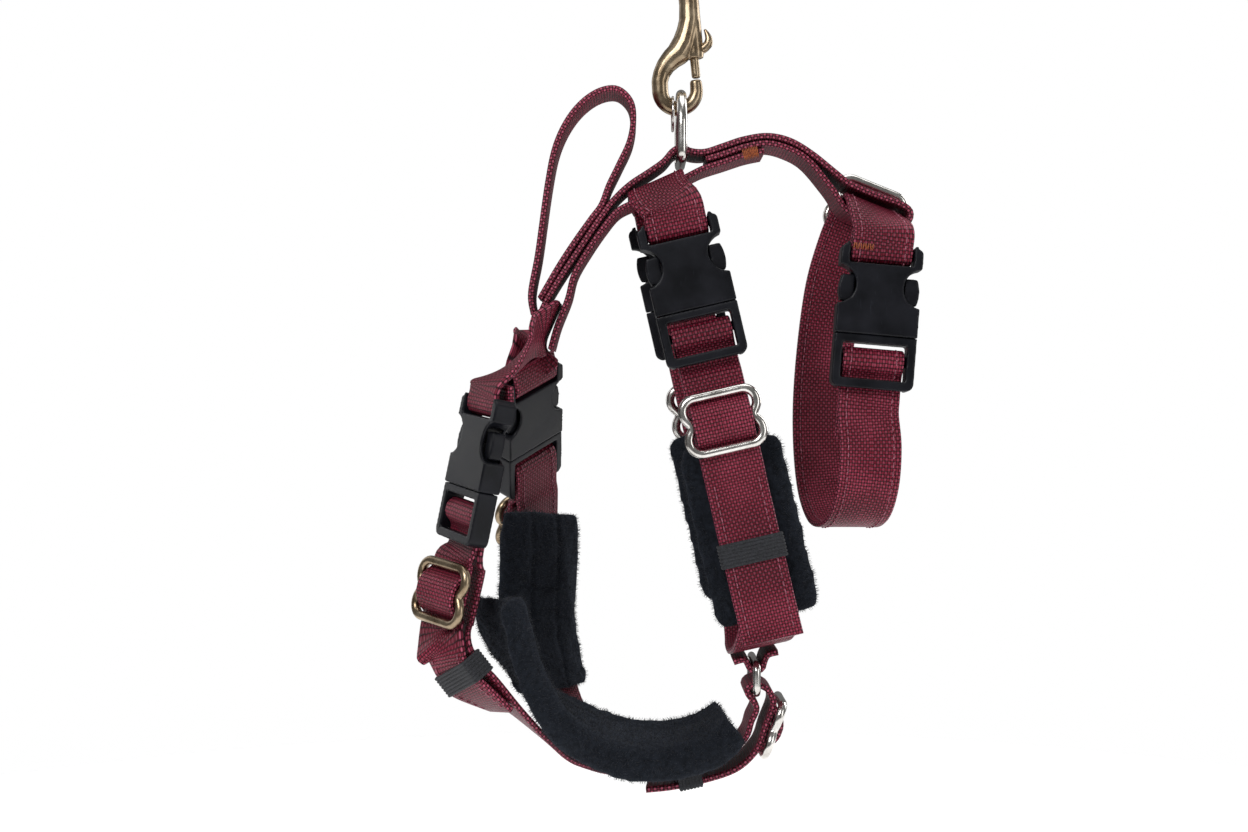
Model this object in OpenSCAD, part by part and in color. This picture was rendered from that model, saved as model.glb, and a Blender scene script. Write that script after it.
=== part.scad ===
// Padded dog harness of webbing, hanging from a bolt snap. Millimetres, +Z up.
// The origin is the centre of the snap's lead eye. The head end is towards -X,
// the near side of the harness is -Y and the far side is +Y.

/* [Webbing] */
// Width of every strap
strap_w = 23; // [22:0.5:23.4]
// Thickness of one ply
ply_t = 2.4; // [2:0.1:2.4]
// Clearance between plies and around hardware
gap = 0.3; // [0.2:0.05:0.3]

/* [Side-release buckle] */
// Full width of both halves
buckle_w = 31; // [30.5:0.5:32]
// Thickness of the socket half
socket_t = 8.6; // [8:0.2:9]
// Length of the socket half, seam to horn tips
socket_l = 34.5; // [34:0.5:36]
// Length of the plug half's frame
frame_l = 20.3; // [20:0.1:22]
// Height of the sewn bar in the socket above the seam
socket_bar_z = 31.4; // [31.2:0.1:31.6]
// Height of the plug's webbing bar below the seam
plug_bar_z = 9; // [8.8:0.1:9.2]

/* [Metal fittings] */
// Wire radius of the strap sliders
slider_r = 1.5; // [1.2:0.1:1.5]
// Wire radius of the back D-ring
d_ring_r = 2; // [1.8:0.1:2]
// Wire radius of the chest ring
chest_ring_r = 1.5; // [1.3:0.1:1.5]

/* [Bolt snap] */
// Radius of the hole in the lead eye
eye_r = 8; // [7:0.5:9]
// Radius of the shank
shank_r = 3.8; // [3.6:0.1:4.2]
// Centre-line radius of the hook
hook_r = 7.4; // [7.2:0.1:7.6]
// Wire radius of the hook
hook_wire_r = 3; // [2.8:0.1:3]
// Radius of the sliding bolt
bolt_r = 1.8; // [1.5:0.1:1.8]
// Travel of the sliding bolt
bolt_travel = 8; // [6:0.5:8]

/* [Fleece pads] */
// Width of a pad
pad_w = 40; // [36:1:42]
// Thickness of a pad
pad_t = 6; // [5:0.5:6.5]

/* [Hidden] */
$fn = 32;
WEBBING = "#6f1d33";
METAL = "#b9b2a6";
PLASTIC = "#1b1c20";
FLEECE = "#101216";
ELASTIC = "#17181c";

// ---- Vectors and frames: a frame is [position, [rx, ry, rz]] ----
function unit(v) = v / norm(v);
function turn_x(v, a) = [v.x, v.y * cos(a) - v.z * sin(a), v.y * sin(a) + v.z * cos(a)];
function turn_y(v, a) = [v.x * cos(a) + v.z * sin(a), v.y, v.z * cos(a) - v.x * sin(a)];
function turn_z(v, a) = [v.x * cos(a) - v.y * sin(a), v.x * sin(a) + v.y * cos(a), v.z];
function dir(f, v) = turn_z(turn_y(turn_x(v, f[1].x), f[1].y), f[1].z);
function at(f, p) = f[0] + dir(f, p);
module place(f) {
    translate(f[0]) rotate(f[1]) children();
}

// ---- Ribbons: a route is a list of [point, direction of the strap's width] ----
function spline(a, b, c, d, t) =
    0.5 * (2 * b + (c - a) * t + (2 * a - 5 * b + 4 * c - d) * t * t
    + (3 * b - a - 3 * c + d) * t * t * t);
function clamped(r, i) = r[max(0, min(len(r) - 1, i))];
function smooth(r, steps) = concat(
    [for (i = [0 : len(r) - 2]) for (s = [0 : steps - 1])
        [for (k = [0, 1]) spline(clamped(r, i - 1)[k], r[i][k], r[i + 1][k],
            clamped(r, i + 2)[k], s / steps)]],
    [r[len(r) - 1]]);
function tangent(r, i) = unit(clamped(r, i + 1)[0] - clamped(r, i - 1)[0]);
function across(r, i) =
    let (t = tangent(r, i)) unit(r[i][1] - t * (r[i][1] * t));

// Sweeps a closed section, a list of [across, normal] points, along a route.
module sweep(r, sections) {
    n = len(sections[0]);
    last = len(r) - 1;
    points = [for (i = [0 : last])
        let (a = across(r, i), m = cross(tangent(r, i), a))
        for (q = sections[min(i, len(sections) - 1)]) r[i][0] + a * q.x + m * q.y];
    sides = [for (i = [0 : last - 1]) for (j = [0 : n - 1]) each [
        [i * n + j, i * n + (j + 1) % n, (i + 1) * n + (j + 1) % n],
        [i * n + j, (i + 1) * n + (j + 1) % n, (i + 1) * n + j]]];
    ends = [[for (j = [n - 1 : -1 : 0]) j], [for (j = [0 : n - 1]) last * n + j]];
    polyhedron(points, concat(sides, ends));
}

module strap(route, steps = 3) {
    w = strap_w / 2;
    t = ply_t / 2;
    color(WEBBING) sweep(smooth(route, steps), [[[-w, -t], [-w, t], [w, t], [w, -t]]]);
}

// A pad's section goes round its lower and upper faces, from one edge to the other and back.
function flat_section() = [for (side = [-1, 1]) for (k = [-2 : 2])
    [-side * k * pad_w / 4, side * pad_t / 2 * (abs(k) == 2 ? 0.6 : 1)]];
// The chest pad is a trough: a thick near rim hangs over the strap, and the far edge rises.
TROUGH = [[-20.4, -6.4], [-16, -5.8], [-10, -4.9], [0, -4.8], [11.5, -5], [17, -5.2], [21, -3], [22.4, 2.6],
    [21.6, 7.4], [18.6, 8.2], [16.8, 6.2], [16, 1], [8, -0.7], [-6, -0.8], [-14, -1.4], [-20, -3]];
module pad(route, section = flat_section(), steps = 2) {
    last = len(section) - 1;
    color(FLEECE) sweep(smooth(route, steps), [[for (i = [last : -1 : 0]) section[i]]]);
}

// ---- Frames of the five buckles: the seam's centre, the socket above it ----
GIRTH_NEAR = [[4.9, -24, -154], [-3, -13, 0]];
GIRTH_FAR = [[1.9, 24, -149], [3, -13, 0]];
NECK_NEAR = [[-79, -31, -221], [-10, 6, -60]];
NECK_FAR = [[-61, 33, -205], [-25, 24, -136]];
BELLY = [[72.4, -22, -164], [-3, 5, 0]];
// The near neck limb twists towards the front below its plug, and the chest strap folds back
// round the ring, so these two sliders have frames of their own.
NECK_SLIDE = [at(NECK_NEAR, [0, 0, -40]), [-10, 6, -49]];
NECK_KEEPER = [[-81.4, -35.8, -289.2], [32, -21.6, -56.8]];
CHEST_KEEPER = [[2, 0, -333], [-78.7, -0.9, -85.4]];
CHEST_SLIDE = [[31.2, 0, -313.4], [20, 0, 90]];
BELLY_SLIDE = [[75, 20.2, -112], [0, 22, 0]];
// The far girth limb is built outside in, so that its outer face looks away.
function flipped(p, flip) = [p.x, flip ? -p.y : p.y, p.z];
function row(f, x, y, z, flip = false) =
    [at(f, flipped([x, y, z], flip)), dir(f, [1, 0, 0])];

// ---- Webbing through a plug: the outer ply, round the bar, then the inner ply ----
bar_r = 1.6;
bar_y = 0.6;
loop_r = bar_r + gap + ply_t / 2;
outer_y = 1.2;
inner_y = outer_y + ply_t + 0.4;
function plug_loop(f, flip = false) = [
    row(f, 0, outer_y, -23, flip),
    row(f, 0, outer_y + 0.1, -18.5, flip),
    row(f, 0, 0.8, -14.6, flip),
    row(f, 0, bar_y - loop_r + 0.5, -11.5, flip),
    row(f, 0, bar_y - loop_r, -plug_bar_z, flip),
    for (a = [45, 90, 135]) row(f, 0, bar_y - loop_r * cos(a), loop_r * sin(a) - plug_bar_z, flip),
    row(f, 0, bar_y + loop_r, -plug_bar_z, flip),
    row(f, 0, inner_y, -14, flip),
    row(f, 0, inner_y, -23, flip)];
// Webbing round a socket's bar: the front ply comes down, the sewn end goes up.
function socket_loop(f, flip = false) = [
    row(f, 0, -1.6, socket_bar_z + 9, flip),
    row(f, 0, bar_y - loop_r, socket_bar_z + 3, flip),
    row(f, 0, bar_y - loop_r, socket_bar_z, flip),
    for (a = [45, 90, 135]) row(f, 0, bar_y - loop_r * cos(a), socket_bar_z - loop_r * sin(a), flip),
    row(f, 0, bar_y + loop_r, socket_bar_z, flip),
    row(f, 0, bar_y + loop_r - 0.4, socket_bar_z + 4, flip),
    row(f, 0, bar_y + loop_r - 1.6, socket_bar_z + 8.5, flip)];
function reversed(r) = [for (i = [len(r) - 1 : -1 : 0]) r[i]];

// ---- Stations along a limb, from the seam down ----
slide_z = -43.5;
slide_front_y = -1;
slide_back_y = 4.8;
keeper_z = -93;
limb_end_z = -121;
keeper_l = 9;
keeper_wall = 0.9;

// ---- Routes of the straps, chosen by hand ----
Y = [0, 1, 0];
GIRTH_ACROSS = [cos(24), 0, sin(24)];
BELLY_ACROSS = [cos(22), 0, -sin(22)];

SPINE_TOP = [for (p = [[-57.8, -166], [-55.8, -158.6], [-52.1, -150], [-45.4, -138.9], [-38, -128],
    [-32, -119], [-26.5, -111.5], [-20, -105.3], [-13, -100.6], [-7, -96.4], [-3.4, -92.4],
    [0, -91], [3.6, -92.4], [9, -92.6], [16, -90.4], [24, -87.8], [33, -86.5], [41.5, -88.4],
    [50, -93.4], [58, -99.8], [63.5, -104.2], [70, -107.4], [78, -110.4], [84, -112.6],
    [87.6, -115.2], [87.6, -118.6], [84.6, -121], [78, -119.6], [70, -117.9], [63.2, -114.8],
    [57.2, -106], [48.6, -95.8], [40.8, -91.2], [33, -89.3], [24.6, -90.6], [16.8, -93.2],
    [9.4, -95.4]]) [[p.x, 0, p.y], Y]];
SPINE_UNDER = [for (p = [[-50.4, -168.5], [-48, -160], [-43.8, -149.4], [-41.3, -139.8], [-35.5, -129.8],
    [-29.8, -121.4], [-24.6, -115.4], [-18, -112], [-10, -108.4], [-3, -105], [3.5, -101.4],
    [8.8, -98.8], [17, -96.2], [25, -93.6], [31.5, -92.2]]) [[p.x, 0, p.y], Y]];
HANDLE = [for (p = [[-57, -155], [-58, -147.4], [-55.6, -134], [-53.6, -120], [-51.4, -104],
    [-48.6, -91], [-44.4, -81.4], [-38.6, -74], [-31.6, -69.2], [-24.8, -68.4], [-19.8, -73],
    [-18.6, -80], [-20, -88.6], [-24.2, -97.6], [-28, -105.6], [-30.8, -113], [-34.8, -118.4],
    [-40.8, -126.9], [-47.8, -137.5], [-54.4, -149]])
    [[p.x, 0, p.y], Y]];

GIRTH_TOP = concat(reversed(socket_loop(GIRTH_NEAR)), [for (p = [[-7.2, -20.8, -111.6],
    [-9.2, -17.6, -108.4], [-9.9, -14.2, -105.8], [-10, -10, -104.6], [-10, 0, -104.2],
    [-10, 10, -104.4], [-9.9, 14.2, -104.9], [-9.4, 17.6, -106.1], [-8.6, 20.8, -107.7]])
    [p, GIRTH_ACROSS]], socket_loop(GIRTH_FAR, true));

// Tail, outer ply over the slider's bar, plug loop, inner ply, and on down.
function limb(f, flip, tail_z, end_z) = concat(
    [row(f, 0, outer_y - 1.2, tail_z, flip),
    row(f, 0, outer_y, tail_z + 6, flip),
    row(f, 0, outer_y, tail_z + 12, flip),
    row(f, 0, outer_y, keeper_z, flip),
    row(f, 0, outer_y, -70, flip),
    row(f, 0, slide_front_y, -61, flip),
    row(f, 0, slide_front_y, -44, flip),
    row(f, 0, slide_front_y, -27, flip)],
    plug_loop(f, flip),
    [row(f, 0, slide_back_y, -28, flip),
    row(f, 0, slide_back_y, -60, flip),
    row(f, 0, inner_y, -70, flip),
    row(f, 0, inner_y, keeper_z, flip),
    row(f, 0, inner_y, end_z + 10, flip),
    row(f, 0, inner_y, end_z, flip)]);
X = [1, 0, 0];
GIRTH_FOLD = [0.975, 0, 0.22];
GIRTH_NEAR_STRAP = concat(limb(GIRTH_NEAR, false, -127, limb_end_z),
    [[[30.5, -19.5, -279.2], GIRTH_FOLD], [[29, -9, -282.4], GIRTH_FOLD], [[29, -0.2, -283.2], GIRTH_FOLD]]);
GIRTH_FAR_STRAP = concat(limb(GIRTH_FAR, true, -122, limb_end_z + 2),
    [[[29.5, 18.5, -279.4], GIRTH_FOLD], [[29, 8.5, -282.5], GIRTH_FOLD], [[29, 0.2, -283.2], GIRTH_FOLD]]);

NECK_FOLD = [0.72, -0.69, 0];
kept_y = 2.5;
function chest_row(y, z) = [at(CHEST_SLIDE, [0, y, z]), -Y];
NECK_NEAR_STRAP = concat(
    [[[-67.6, -33, -303], [0.6, -0.8, 0]],
    row(NECK_KEEPER, 0, -kept_y, -5),
    row(NECK_KEEPER, 0, -kept_y, 0),
    row(NECK_KEEPER, 0, -kept_y, 5),
    [[-88.6, -37, -279.4], NECK_FOLD],
    row(NECK_SLIDE, 0, slide_front_y, -15),
    row(NECK_SLIDE, 0, slide_front_y, -5),
    row(NECK_SLIDE, 0, slide_front_y, 5),
    row(NECK_SLIDE, 0, slide_front_y, 13)],
    plug_loop(NECK_NEAR),
    [row(NECK_SLIDE, 0, slide_back_y, 12),
    row(NECK_SLIDE, 0, slide_back_y, 0),
    row(NECK_SLIDE, 0, slide_back_y, -13),
    row(NECK_KEEPER, 0, kept_y, 6),
    row(NECK_KEEPER, 0, kept_y, 0),
    row(NECK_KEEPER, 0, kept_y, -6),
    [[-64.2, -28, -303.6], [0.45, -0.88, 0]],
    [[-54, -20, -314.4], [0.25, -0.95, 0]],
    [[-42, -11, -324.5], [0.1, -1, 0]],
    [[-24, -4, -330.5], -Y],
    row(CHEST_KEEPER, 0, -kept_y, -6),
    row(CHEST_KEEPER, 0, -kept_y, 6),
    [[16.4, 0, -325.4], -Y],
    chest_row(slide_back_y, -7),
    chest_row(slide_back_y, 0),
    chest_row(slide_back_y, 6),
    [[25.3, 0, -300.6], -Y],
    [[26.2, 0, -298.2], -Y],
    [[28.5, 0, -297.2], -Y],
    [[30.9, 0, -298.1], -Y],
    [[33.8, 0, -300.2], -Y],
    chest_row(slide_front_y, 9),
    chest_row(slide_front_y, 0),
    chest_row(slide_front_y, -9),
    [[21.4, 0, -329.6], -Y],
    row(CHEST_KEEPER, 0, kept_y, 6),
    row(CHEST_KEEPER, 0, kept_y, -6),
    [[-13, 0, -337.8], -Y]]);
NECK_FAR_STRAP = concat(
    [row(NECK_FAR, 0, outer_y, -67),
    row(NECK_FAR, 0, slide_front_y, -57),
    row(NECK_FAR, 0, slide_front_y, -46),
    row(NECK_FAR, 0, slide_front_y, -27)],
    plug_loop(NECK_FAR),
    [row(NECK_FAR, 0, slide_back_y, -28),
    row(NECK_FAR, 0, slide_back_y, -46),
    row(NECK_FAR, 0, slide_back_y, -56),
    [[-57, 54, -266], [0.75, 0.65, 0]],
    [[-55, 49, -288], [0.75, 0.65, 0]],
    [[-51, 36, -305], [0.7, 0.7, 0]],
    [[-44, 20, -317], [0.5, 0.85, 0]],
    [[-36, 12, -324], [0.25, 0.95, 0]]]);
NECK_TUNNEL = [0.39, 0, 0.92];
NECK_TOP = concat(reversed(socket_loop(NECK_NEAR)),
    [[[-61.4, -20, -172.6], [0.6, -0.3, 0.7]],
    [[-55.6, -15.6, -164.6], [0.4, 0, 0.9]],
    [[-52.4, -11, -160.6], NECK_TUNNEL],
    [[-52.1, 0, -160.4], NECK_TUNNEL],
    [[-52.4, 10.6, -160.6], NECK_TUNNEL],
    [[-56, 14.4, -165.4], [0.2, 0.4, 0.9]]],
    socket_loop(NECK_FAR));

BELLY_STRAP = concat(
    [row(BELLY, 0, inner_y, -40),
    row(BELLY, 0, inner_y, -30)],
    reversed(plug_loop(BELLY)),
    [row(BELLY, 0, 0, -30),
    [[70.4, -26, -206], X],
    [[69.6, -25, -220], X],
    [[67.6, -18, -231], X],
    [[64.6, -6, -236], X],
    [[61.6, 8, -234], X],
    [[58.8, 19, -222], X],
    [[57.6, 24, -200], X],
    [[58.6, 24.5, -175], X],
    [[62, 21.5, -145], X],
    [[67, 18, -126], BELLY_ACROSS],
    [[71, 13.6, -116], BELLY_ACROSS],
    [[73, 8, -113.2], BELLY_ACROSS],
    [[73.4, 0, -113.2], BELLY_ACROSS],
    [[73.4, -8, -113.2], BELLY_ACROSS],
    [[74, -13.8, -116.4], BELLY_ACROSS]],
    socket_loop(BELLY));
RING_TAB = [for (p = [[20, -288.9], [24, -287.9], [25.4, -289.6], [26.2, -291.3], [28.5, -292.4],
    [31, -291], [31.7, -288.6], [33.2, -286], [37, -285]]) [[p.x, 0, p.y], Y]];

// ---- Pads ----
function limb_pad(f, flip, top_z, bottom_z) = [for (s = [0 : 0.25 : 1])
    row(f, 1, 10.2 + 3 * s * s, top_z + (bottom_z - top_z) * s, flip)];
CHEST_PAD = [
    [[-72.6, -22.6, -263], [0.6, -0.8, 0]],
    [[-69.6, -22, -276], [0.6, -0.8, 0]],
    [[-64.6, -21.4, -288], [0.55, -0.83, -0.05]],
    [[-58, -18.6, -298.6], [0.45, -0.88, -0.1]],
    [[-49, -13.6, -308], [0.25, -0.95, -0.1]],
    [[-36.6, -7, -316.2], [0.1, -1, -0.1]],
    [[-22, -3, -322.2], [0, -1, -0.1]],
    [[-7, -1, -323.6], [0, -1, -0.1]],
    [[6, 0, -321], [0, -1, -0.1]],
    [[13.4, 0, -317], [0, -1, -0.1]],
    [[19, 0, -311.6], [0, -1, -0.1]]];
NECK_FAR_PAD = [
    [[-55.4, 36, -234], [0.75, 0.65, 0]],
    [[-56.4, 36, -246], [0.75, 0.65, 0]],
    [[-57, 37, -259], [0.75, 0.65, 0]],
    [[-57.6, 36.4, -272], [0.75, 0.65, 0]],
    [[-56.6, 34, -286], [0.75, 0.65, 0]],
    [[-53.6, 29.6, -297], [0.7, 0.7, 0]],
    [[-50, 26, -305], [0.68, 0.73, 0]]];

// ---- Bolt snap, built upright and leaned about its lead eye ----
SNAP = [[0, 0, 0], [0, -5.5, 0]];
hook_z = -66.8;
shank_top = -14;
shank_end = -55;
arm_a = 144.6;
arm_l = 21;
hook_tip_a = 24;
slot_low = -54.6;
horn_z = -49.5;
bolt_low = -62.1;
bolt_top = -40;

module eye() {
    color(METAL) place(SNAP) {
        difference() {
            rotate([90, 0, 0]) cylinder(r = eye_r + 3.6, h = 4, center = true);
            rotate([90, 0, 0]) cylinder(r = eye_r, h = 6, center = true);
        }
        translate([0, 0, -13.7]) cylinder(r = 3.2, h = 3.2);
        translate([0, 0, -18]) cylinder(r = 1.9, h = 5);
        translate([0, 0, -20]) cylinder(r = 2.8, h = 2.4);
    }
}

module snap_body() {
    color(METAL) place(SNAP) {
        difference() {
            union() {
                translate([0, 0, shank_end]) cylinder(r = shank_r, h = shank_top - shank_end);
                translate([-hook_r, 0, hook_z]) rotate([90, 0, 0])
                    rotate([0, 0, arm_a]) rotate_extrude(angle = 360 - arm_a + hook_tip_a)
                        translate([hook_r, 0]) circle(r = hook_wire_r);
                translate([hook_r * (cos(arm_a) - 1), 0, hook_z + hook_r * sin(arm_a)])
                    rotate([0, 90 - arm_a + 90, 0]) rotate([0, -90, 0])
                        rotate([0, 90, 0]) cylinder(r = hook_wire_r, h = arm_l);
            }
            translate([0, 0, -17.4]) cylinder(r = 2, h = 5);
            translate([0, 0, -21]) cylinder(r = 3, h = 3.7);
            translate([0, 0, shank_end - 1]) cylinder(r = bolt_r + 0.1, h = 27);
            translate([0, -1.3, slot_low]) cube([6, 2.6, 18.5]);
        }
    }
}

module snap_bolt() {
    color(METAL) place(SNAP) {
        translate([0, 0, bolt_low]) cylinder(r = bolt_r, h = bolt_top - bolt_low);
        translate([0.8, -1.1, horn_z - 3]) cube([4.4, 2.2, 5]);
        translate([6.2, 0, horn_z - 4.4]) cylinder(r1 = 1.3, r2 = 2.2, h = 7.4);
        translate([6.2, 0, horn_z + 3]) sphere(r = 2.2);
    }
}

module snap_spring() {
    turns = 9;
    low = bolt_top + 0.5;
    high = -29.4;
    steps = turns * 8;
    coil = [for (i = [0 : steps]) [at(SNAP, [1.25 * cos(i * 45), 1.25 * sin(i * 45),
        low + (high - low) * i / steps]), dir(SNAP, [0, 0, 1])]];
    color(METAL) sweep(coil, [[for (a = [0 : 90 : 270]) 0.35 * [cos(a), -sin(a)]]]);
}

// ---- Rings ----
D_HALF = 14.6;
d_bar_z = -95;
d_arc_z = -83.6;
d_corner = 3;
module bend(radius, r, angle) {
    rotate_extrude(angle = angle) translate([radius, 0]) circle(r = r);
}
module d_ring() {
    color(METAL) rotate([0, 0, 90]) rotate([90, 0, 0]) {
        translate([0, d_arc_z]) bend(D_HALF, d_ring_r, 180);
        for (s = [-1, 1]) {
            translate([s * D_HALF, d_bar_z + d_corner, 0]) rotate([-90, 0, 0])
                cylinder(r = d_ring_r, h = d_arc_z - d_bar_z - d_corner);
            translate([s * (D_HALF - d_corner), d_bar_z + d_corner]) rotate([0, 0, s < 0 ? 180 : 270])
                bend(d_corner, d_ring_r, 90);
        }
        translate([d_corner - D_HALF, d_bar_z, 0]) rotate([0, 90, 0])
            cylinder(r = d_ring_r, h = 2 * (D_HALF - d_corner));
    }
}
module tag_ring() {
    color(METAL) translate([-3.2, 0, -76.3]) rotate([0, 90, 0]) bend(6.5, 0.5, 360);
}
module chest_ring() {
    flat = 11.9;
    corner = 3.2;
    upright = 2.3;
    half = flat + corner;
    color(METAL) translate([28.5, 0, -294.9]) rotate([0, 0, 90]) rotate([90, 0, 0]) {
        for (s = [-1, 1]) {
            translate([s * half, -upright, 0]) rotate([-90, 0, 0]) cylinder(r = chest_ring_r, h = 2 * upright);
            translate([-flat, s * (upright + corner), 0]) rotate([0, 90, 0])
                cylinder(r = chest_ring_r, h = 2 * flat);
        }
        for (a = [0 : 90 : 270]) {
            x = (a == 0 || a == 270) ? 1 : -1;
            y = (a < 180) ? 1 : -1;
            translate([x * flat, y * upright]) rotate([0, 0, a]) bend(corner, chest_ring_r, 90);
        }
    }
}

// ---- Strap slider: a wire frame in front of the outer ply, its bar behind it ----
slider_x = 14;
slider_half_z = 10.5;
slider_corner = 5;
module slider(f, flip = false, z = slide_z) {
    front = slide_front_y - ply_t / 2 - gap - slider_r;
    back = (slide_front_y + slide_back_y) / 2 - front;
    color(METAL) place(f) mirror([0, flip ? 1 : 0, 0]) translate([0, front, z]) rotate([90, 0, 0]) {
        for (s = [-1, 1]) {
            translate([s * slider_x, slider_corner - slider_half_z, 0]) rotate([-90, 0, 0])
                cylinder(r = slider_r, h = 2 * (slider_half_z - slider_corner));
            translate([slider_corner - slider_x, s * slider_half_z, 0]) rotate([0, 90, 0])
                cylinder(r = slider_r, h = 2 * (slider_x - slider_corner));
            translate([s * slider_x, 0, -back]) cylinder(r = 1.2, h = back);
        }
        for (a = [0 : 90 : 270]) {
            x = (a == 0 || a == 270) ? 1 : -1;
            y = (a < 180) ? 1 : -1;
            translate([x * (slider_x - slider_corner), y * (slider_half_z - slider_corner)])
                rotate([0, 0, a]) bend(slider_corner, slider_r, 90);
        }
        translate([-slider_x, 0, -back]) rotate([0, 90, 0]) cylinder(r = 1.2, h = 2 * slider_x);
    }
}

// A slider that lies flat, with its bar in the plane of its frame.
module flat_slider(f) {
    color(METAL) place(f) rotate([90, 0, 0]) {
        for (s = [-1, 1]) {
            translate([s * slider_x, slider_corner - slider_half_z, 0]) rotate([-90, 0, 0])
                cylinder(r = slider_r, h = 2 * (slider_half_z - slider_corner));
            translate([slider_corner - slider_x, s * slider_half_z, 0]) rotate([0, 90, 0])
                cylinder(r = slider_r, h = 2 * (slider_x - slider_corner));
        }
        for (a = [0 : 90 : 270]) {
            x = (a == 0 || a == 270) ? 1 : -1;
            y = (a < 180) ? 1 : -1;
            translate([x * (slider_x - slider_corner), y * (slider_half_z - slider_corner)])
                rotate([0, 0, a]) bend(slider_corner, slider_r, 90);
        }
        translate([-slider_x, 0, 0]) rotate([0, 90, 0]) cylinder(r = 1.2, h = 2 * slider_x);
    }
}

// An elastic band round two plies.
module keeper(f, y, z, depth, flip = false) {
    w = strap_w + 2 * gap;
    color(ELASTIC) place(f) mirror([0, flip ? 1 : 0, 0]) translate([0, y, z]) difference() {
        cube([w + 2 * keeper_wall, depth + 2 * keeper_wall, keeper_l], center = true);
        cube([w, depth, keeper_l + 1], center = true);
    }
}

// ---- Side-release buckle ----
arm_x = 11.6;
arm_z = 1.8;
recess_z = 18.5;
recess_r = 7.5;
module socket_outline() {
    half = buckle_w / 2;
    difference() {
        union() {
            translate([-half, 0]) square([buckle_w, socket_l - 3]);
            translate([-half + 2, 0]) square([buckle_w - 4, socket_l]);
            for (s = [-1, 1]) translate([s * (half - 2), socket_l - 3]) circle(r = 2);
        }
        for (s = [-1, 1]) translate([s * (half + 1), recess_z]) circle(r = recess_r);
        translate([-12.1, 26.8]) square([24.2, socket_l]);
    }
}
module socket(f, flip = false) {
    color(PLASTIC) place(f) mirror([0, flip ? 1 : 0, 0]) rotate([90, 0, 0]) {
        difference() {
            linear_extrude(socket_t, center = true) socket_outline();
            translate([-13.4, -1, -2.9]) cube([26.8, 24.8, 5.8]);
        }
        translate([-13, socket_bar_z, -bar_y]) rotate([0, 90, 0]) cylinder(r = bar_r, h = 26);
    }
}
module plug(f, flip = false) {
    half = buckle_w / 2;
    color(PLASTIC) place(f) mirror([0, flip ? 1 : 0, 0]) rotate([90, 0, 0]) {
        difference() {
            translate([0, 0, -3.9]) linear_extrude(7.8) union() {
                translate([-half, 3 - frame_l]) square([buckle_w, frame_l - 3.2]);
                translate([3 - half, -frame_l]) square([buckle_w - 6, frame_l - 0.2]);
                for (s = [-1, 1]) translate([s * (half - 3), 3 - frame_l]) circle(r = 3);
            }
            translate([-12.2, -16.8, -5]) cube([24.4, 13.6, 10]);
            translate([-12.2, -frame_l - 1, -5]) cube([24.4, 8, 5.4]);
        }
        translate([-13, -plug_bar_z, -bar_y]) rotate([0, 90, 0]) cylinder(r = bar_r, h = 26);
        translate([-9, -0.3, -2.5]) cube([18, 4, 5]);
        translate([-2.2, 3, -2.5]) cube([4.4, 15, 5]);
        for (s = [-1, 1]) difference() {
            translate([s * arm_x - 1.4, -0.3, -2.5]) cube([2.8, 1.6, 5]);
            translate([s * arm_x, arm_z, -3]) cylinder(r = 1.5, h = 6);
        }
    }
}
// One press arm of the plug, s = -1 on the left and 1 on the right.
module press_arm(f, s) {
    color(PLASTIC) place(f) mirror([s < 0 ? 1 : 0, 0, 0]) rotate([90, 0, 0])
        linear_extrude(5, center = true) {
            translate([arm_x, arm_z]) circle(r = 1.3);
            translate([arm_x - 1.1, arm_z]) square([2.2, 11.5]);
            intersection() {
                translate([9.4, 12.3]) square([6, 10]);
                translate([1.2, 17]) circle(r = 14);
            }
        }
}

BUCKLES = [["girth_near", GIRTH_NEAR], ["girth_far", GIRTH_FAR], ["neck_near", NECK_NEAR],
    ["neck_far", NECK_FAR], ["belly", BELLY]];

eye();  // lead_eye
snap_body();
snap_bolt();
snap_spring();
d_ring();
tag_ring();
chest_ring();
strap(SPINE_TOP, 2);  // spine_top_strap
strap(SPINE_UNDER, 2);  // spine_under_strap
strap(HANDLE, 2);  // handle_loop
strap(GIRTH_TOP);  // girth_top_strap
strap(GIRTH_NEAR_STRAP);  // girth_near_strap
strap(GIRTH_FAR_STRAP);  // girth_far_strap
strap(NECK_TOP);  // neck_top_strap
strap(NECK_NEAR_STRAP);  // chest_strap
strap(NECK_FAR_STRAP);  // neck_far_strap
strap(BELLY_STRAP);  // belly_strap
strap(RING_TAB, 2);  // ring_tab
pad(limb_pad(GIRTH_NEAR, false, -51, -120));  // girth_near_pad
pad(limb_pad(GIRTH_FAR, true, -51, -118));  // girth_far_pad
pad(CHEST_PAD, TROUGH);  // chest_pad
pad(NECK_FAR_PAD);  // neck_far_pad
slider(GIRTH_NEAR);  // girth_near_slider
slider(GIRTH_FAR, true);  // girth_far_slider
slider(NECK_SLIDE, false, 0);  // neck_near_slider
slider(NECK_FAR, false, -38);  // neck_far_slider
keeper_y = (outer_y + inner_y) / 2;
keeper_depth = inner_y - outer_y + ply_t + 2 * gap;
keeper(GIRTH_NEAR, keeper_y, keeper_z, keeper_depth);  // girth_near_keeper
keeper(GIRTH_FAR, keeper_y, keeper_z, keeper_depth, true);  // girth_far_keeper
slider(CHEST_SLIDE, false, 0);  // chest_slider
flat_slider(BELLY_SLIDE);  // belly_slider
keeper(NECK_KEEPER, 0, 0, 2 * kept_y + ply_t + 4 * gap);  // neck_near_keeper
keeper(CHEST_KEEPER, 0, 0, 2 * kept_y + ply_t + 2 * gap);  // chest_keeper
for (b = BUCKLES) {
    socket(b[1], b[0] == "girth_far");
    plug(b[1], b[0] == "girth_far");
    press_arm(b[1], -1);
    press_arm(b[1], 1);
}
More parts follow.
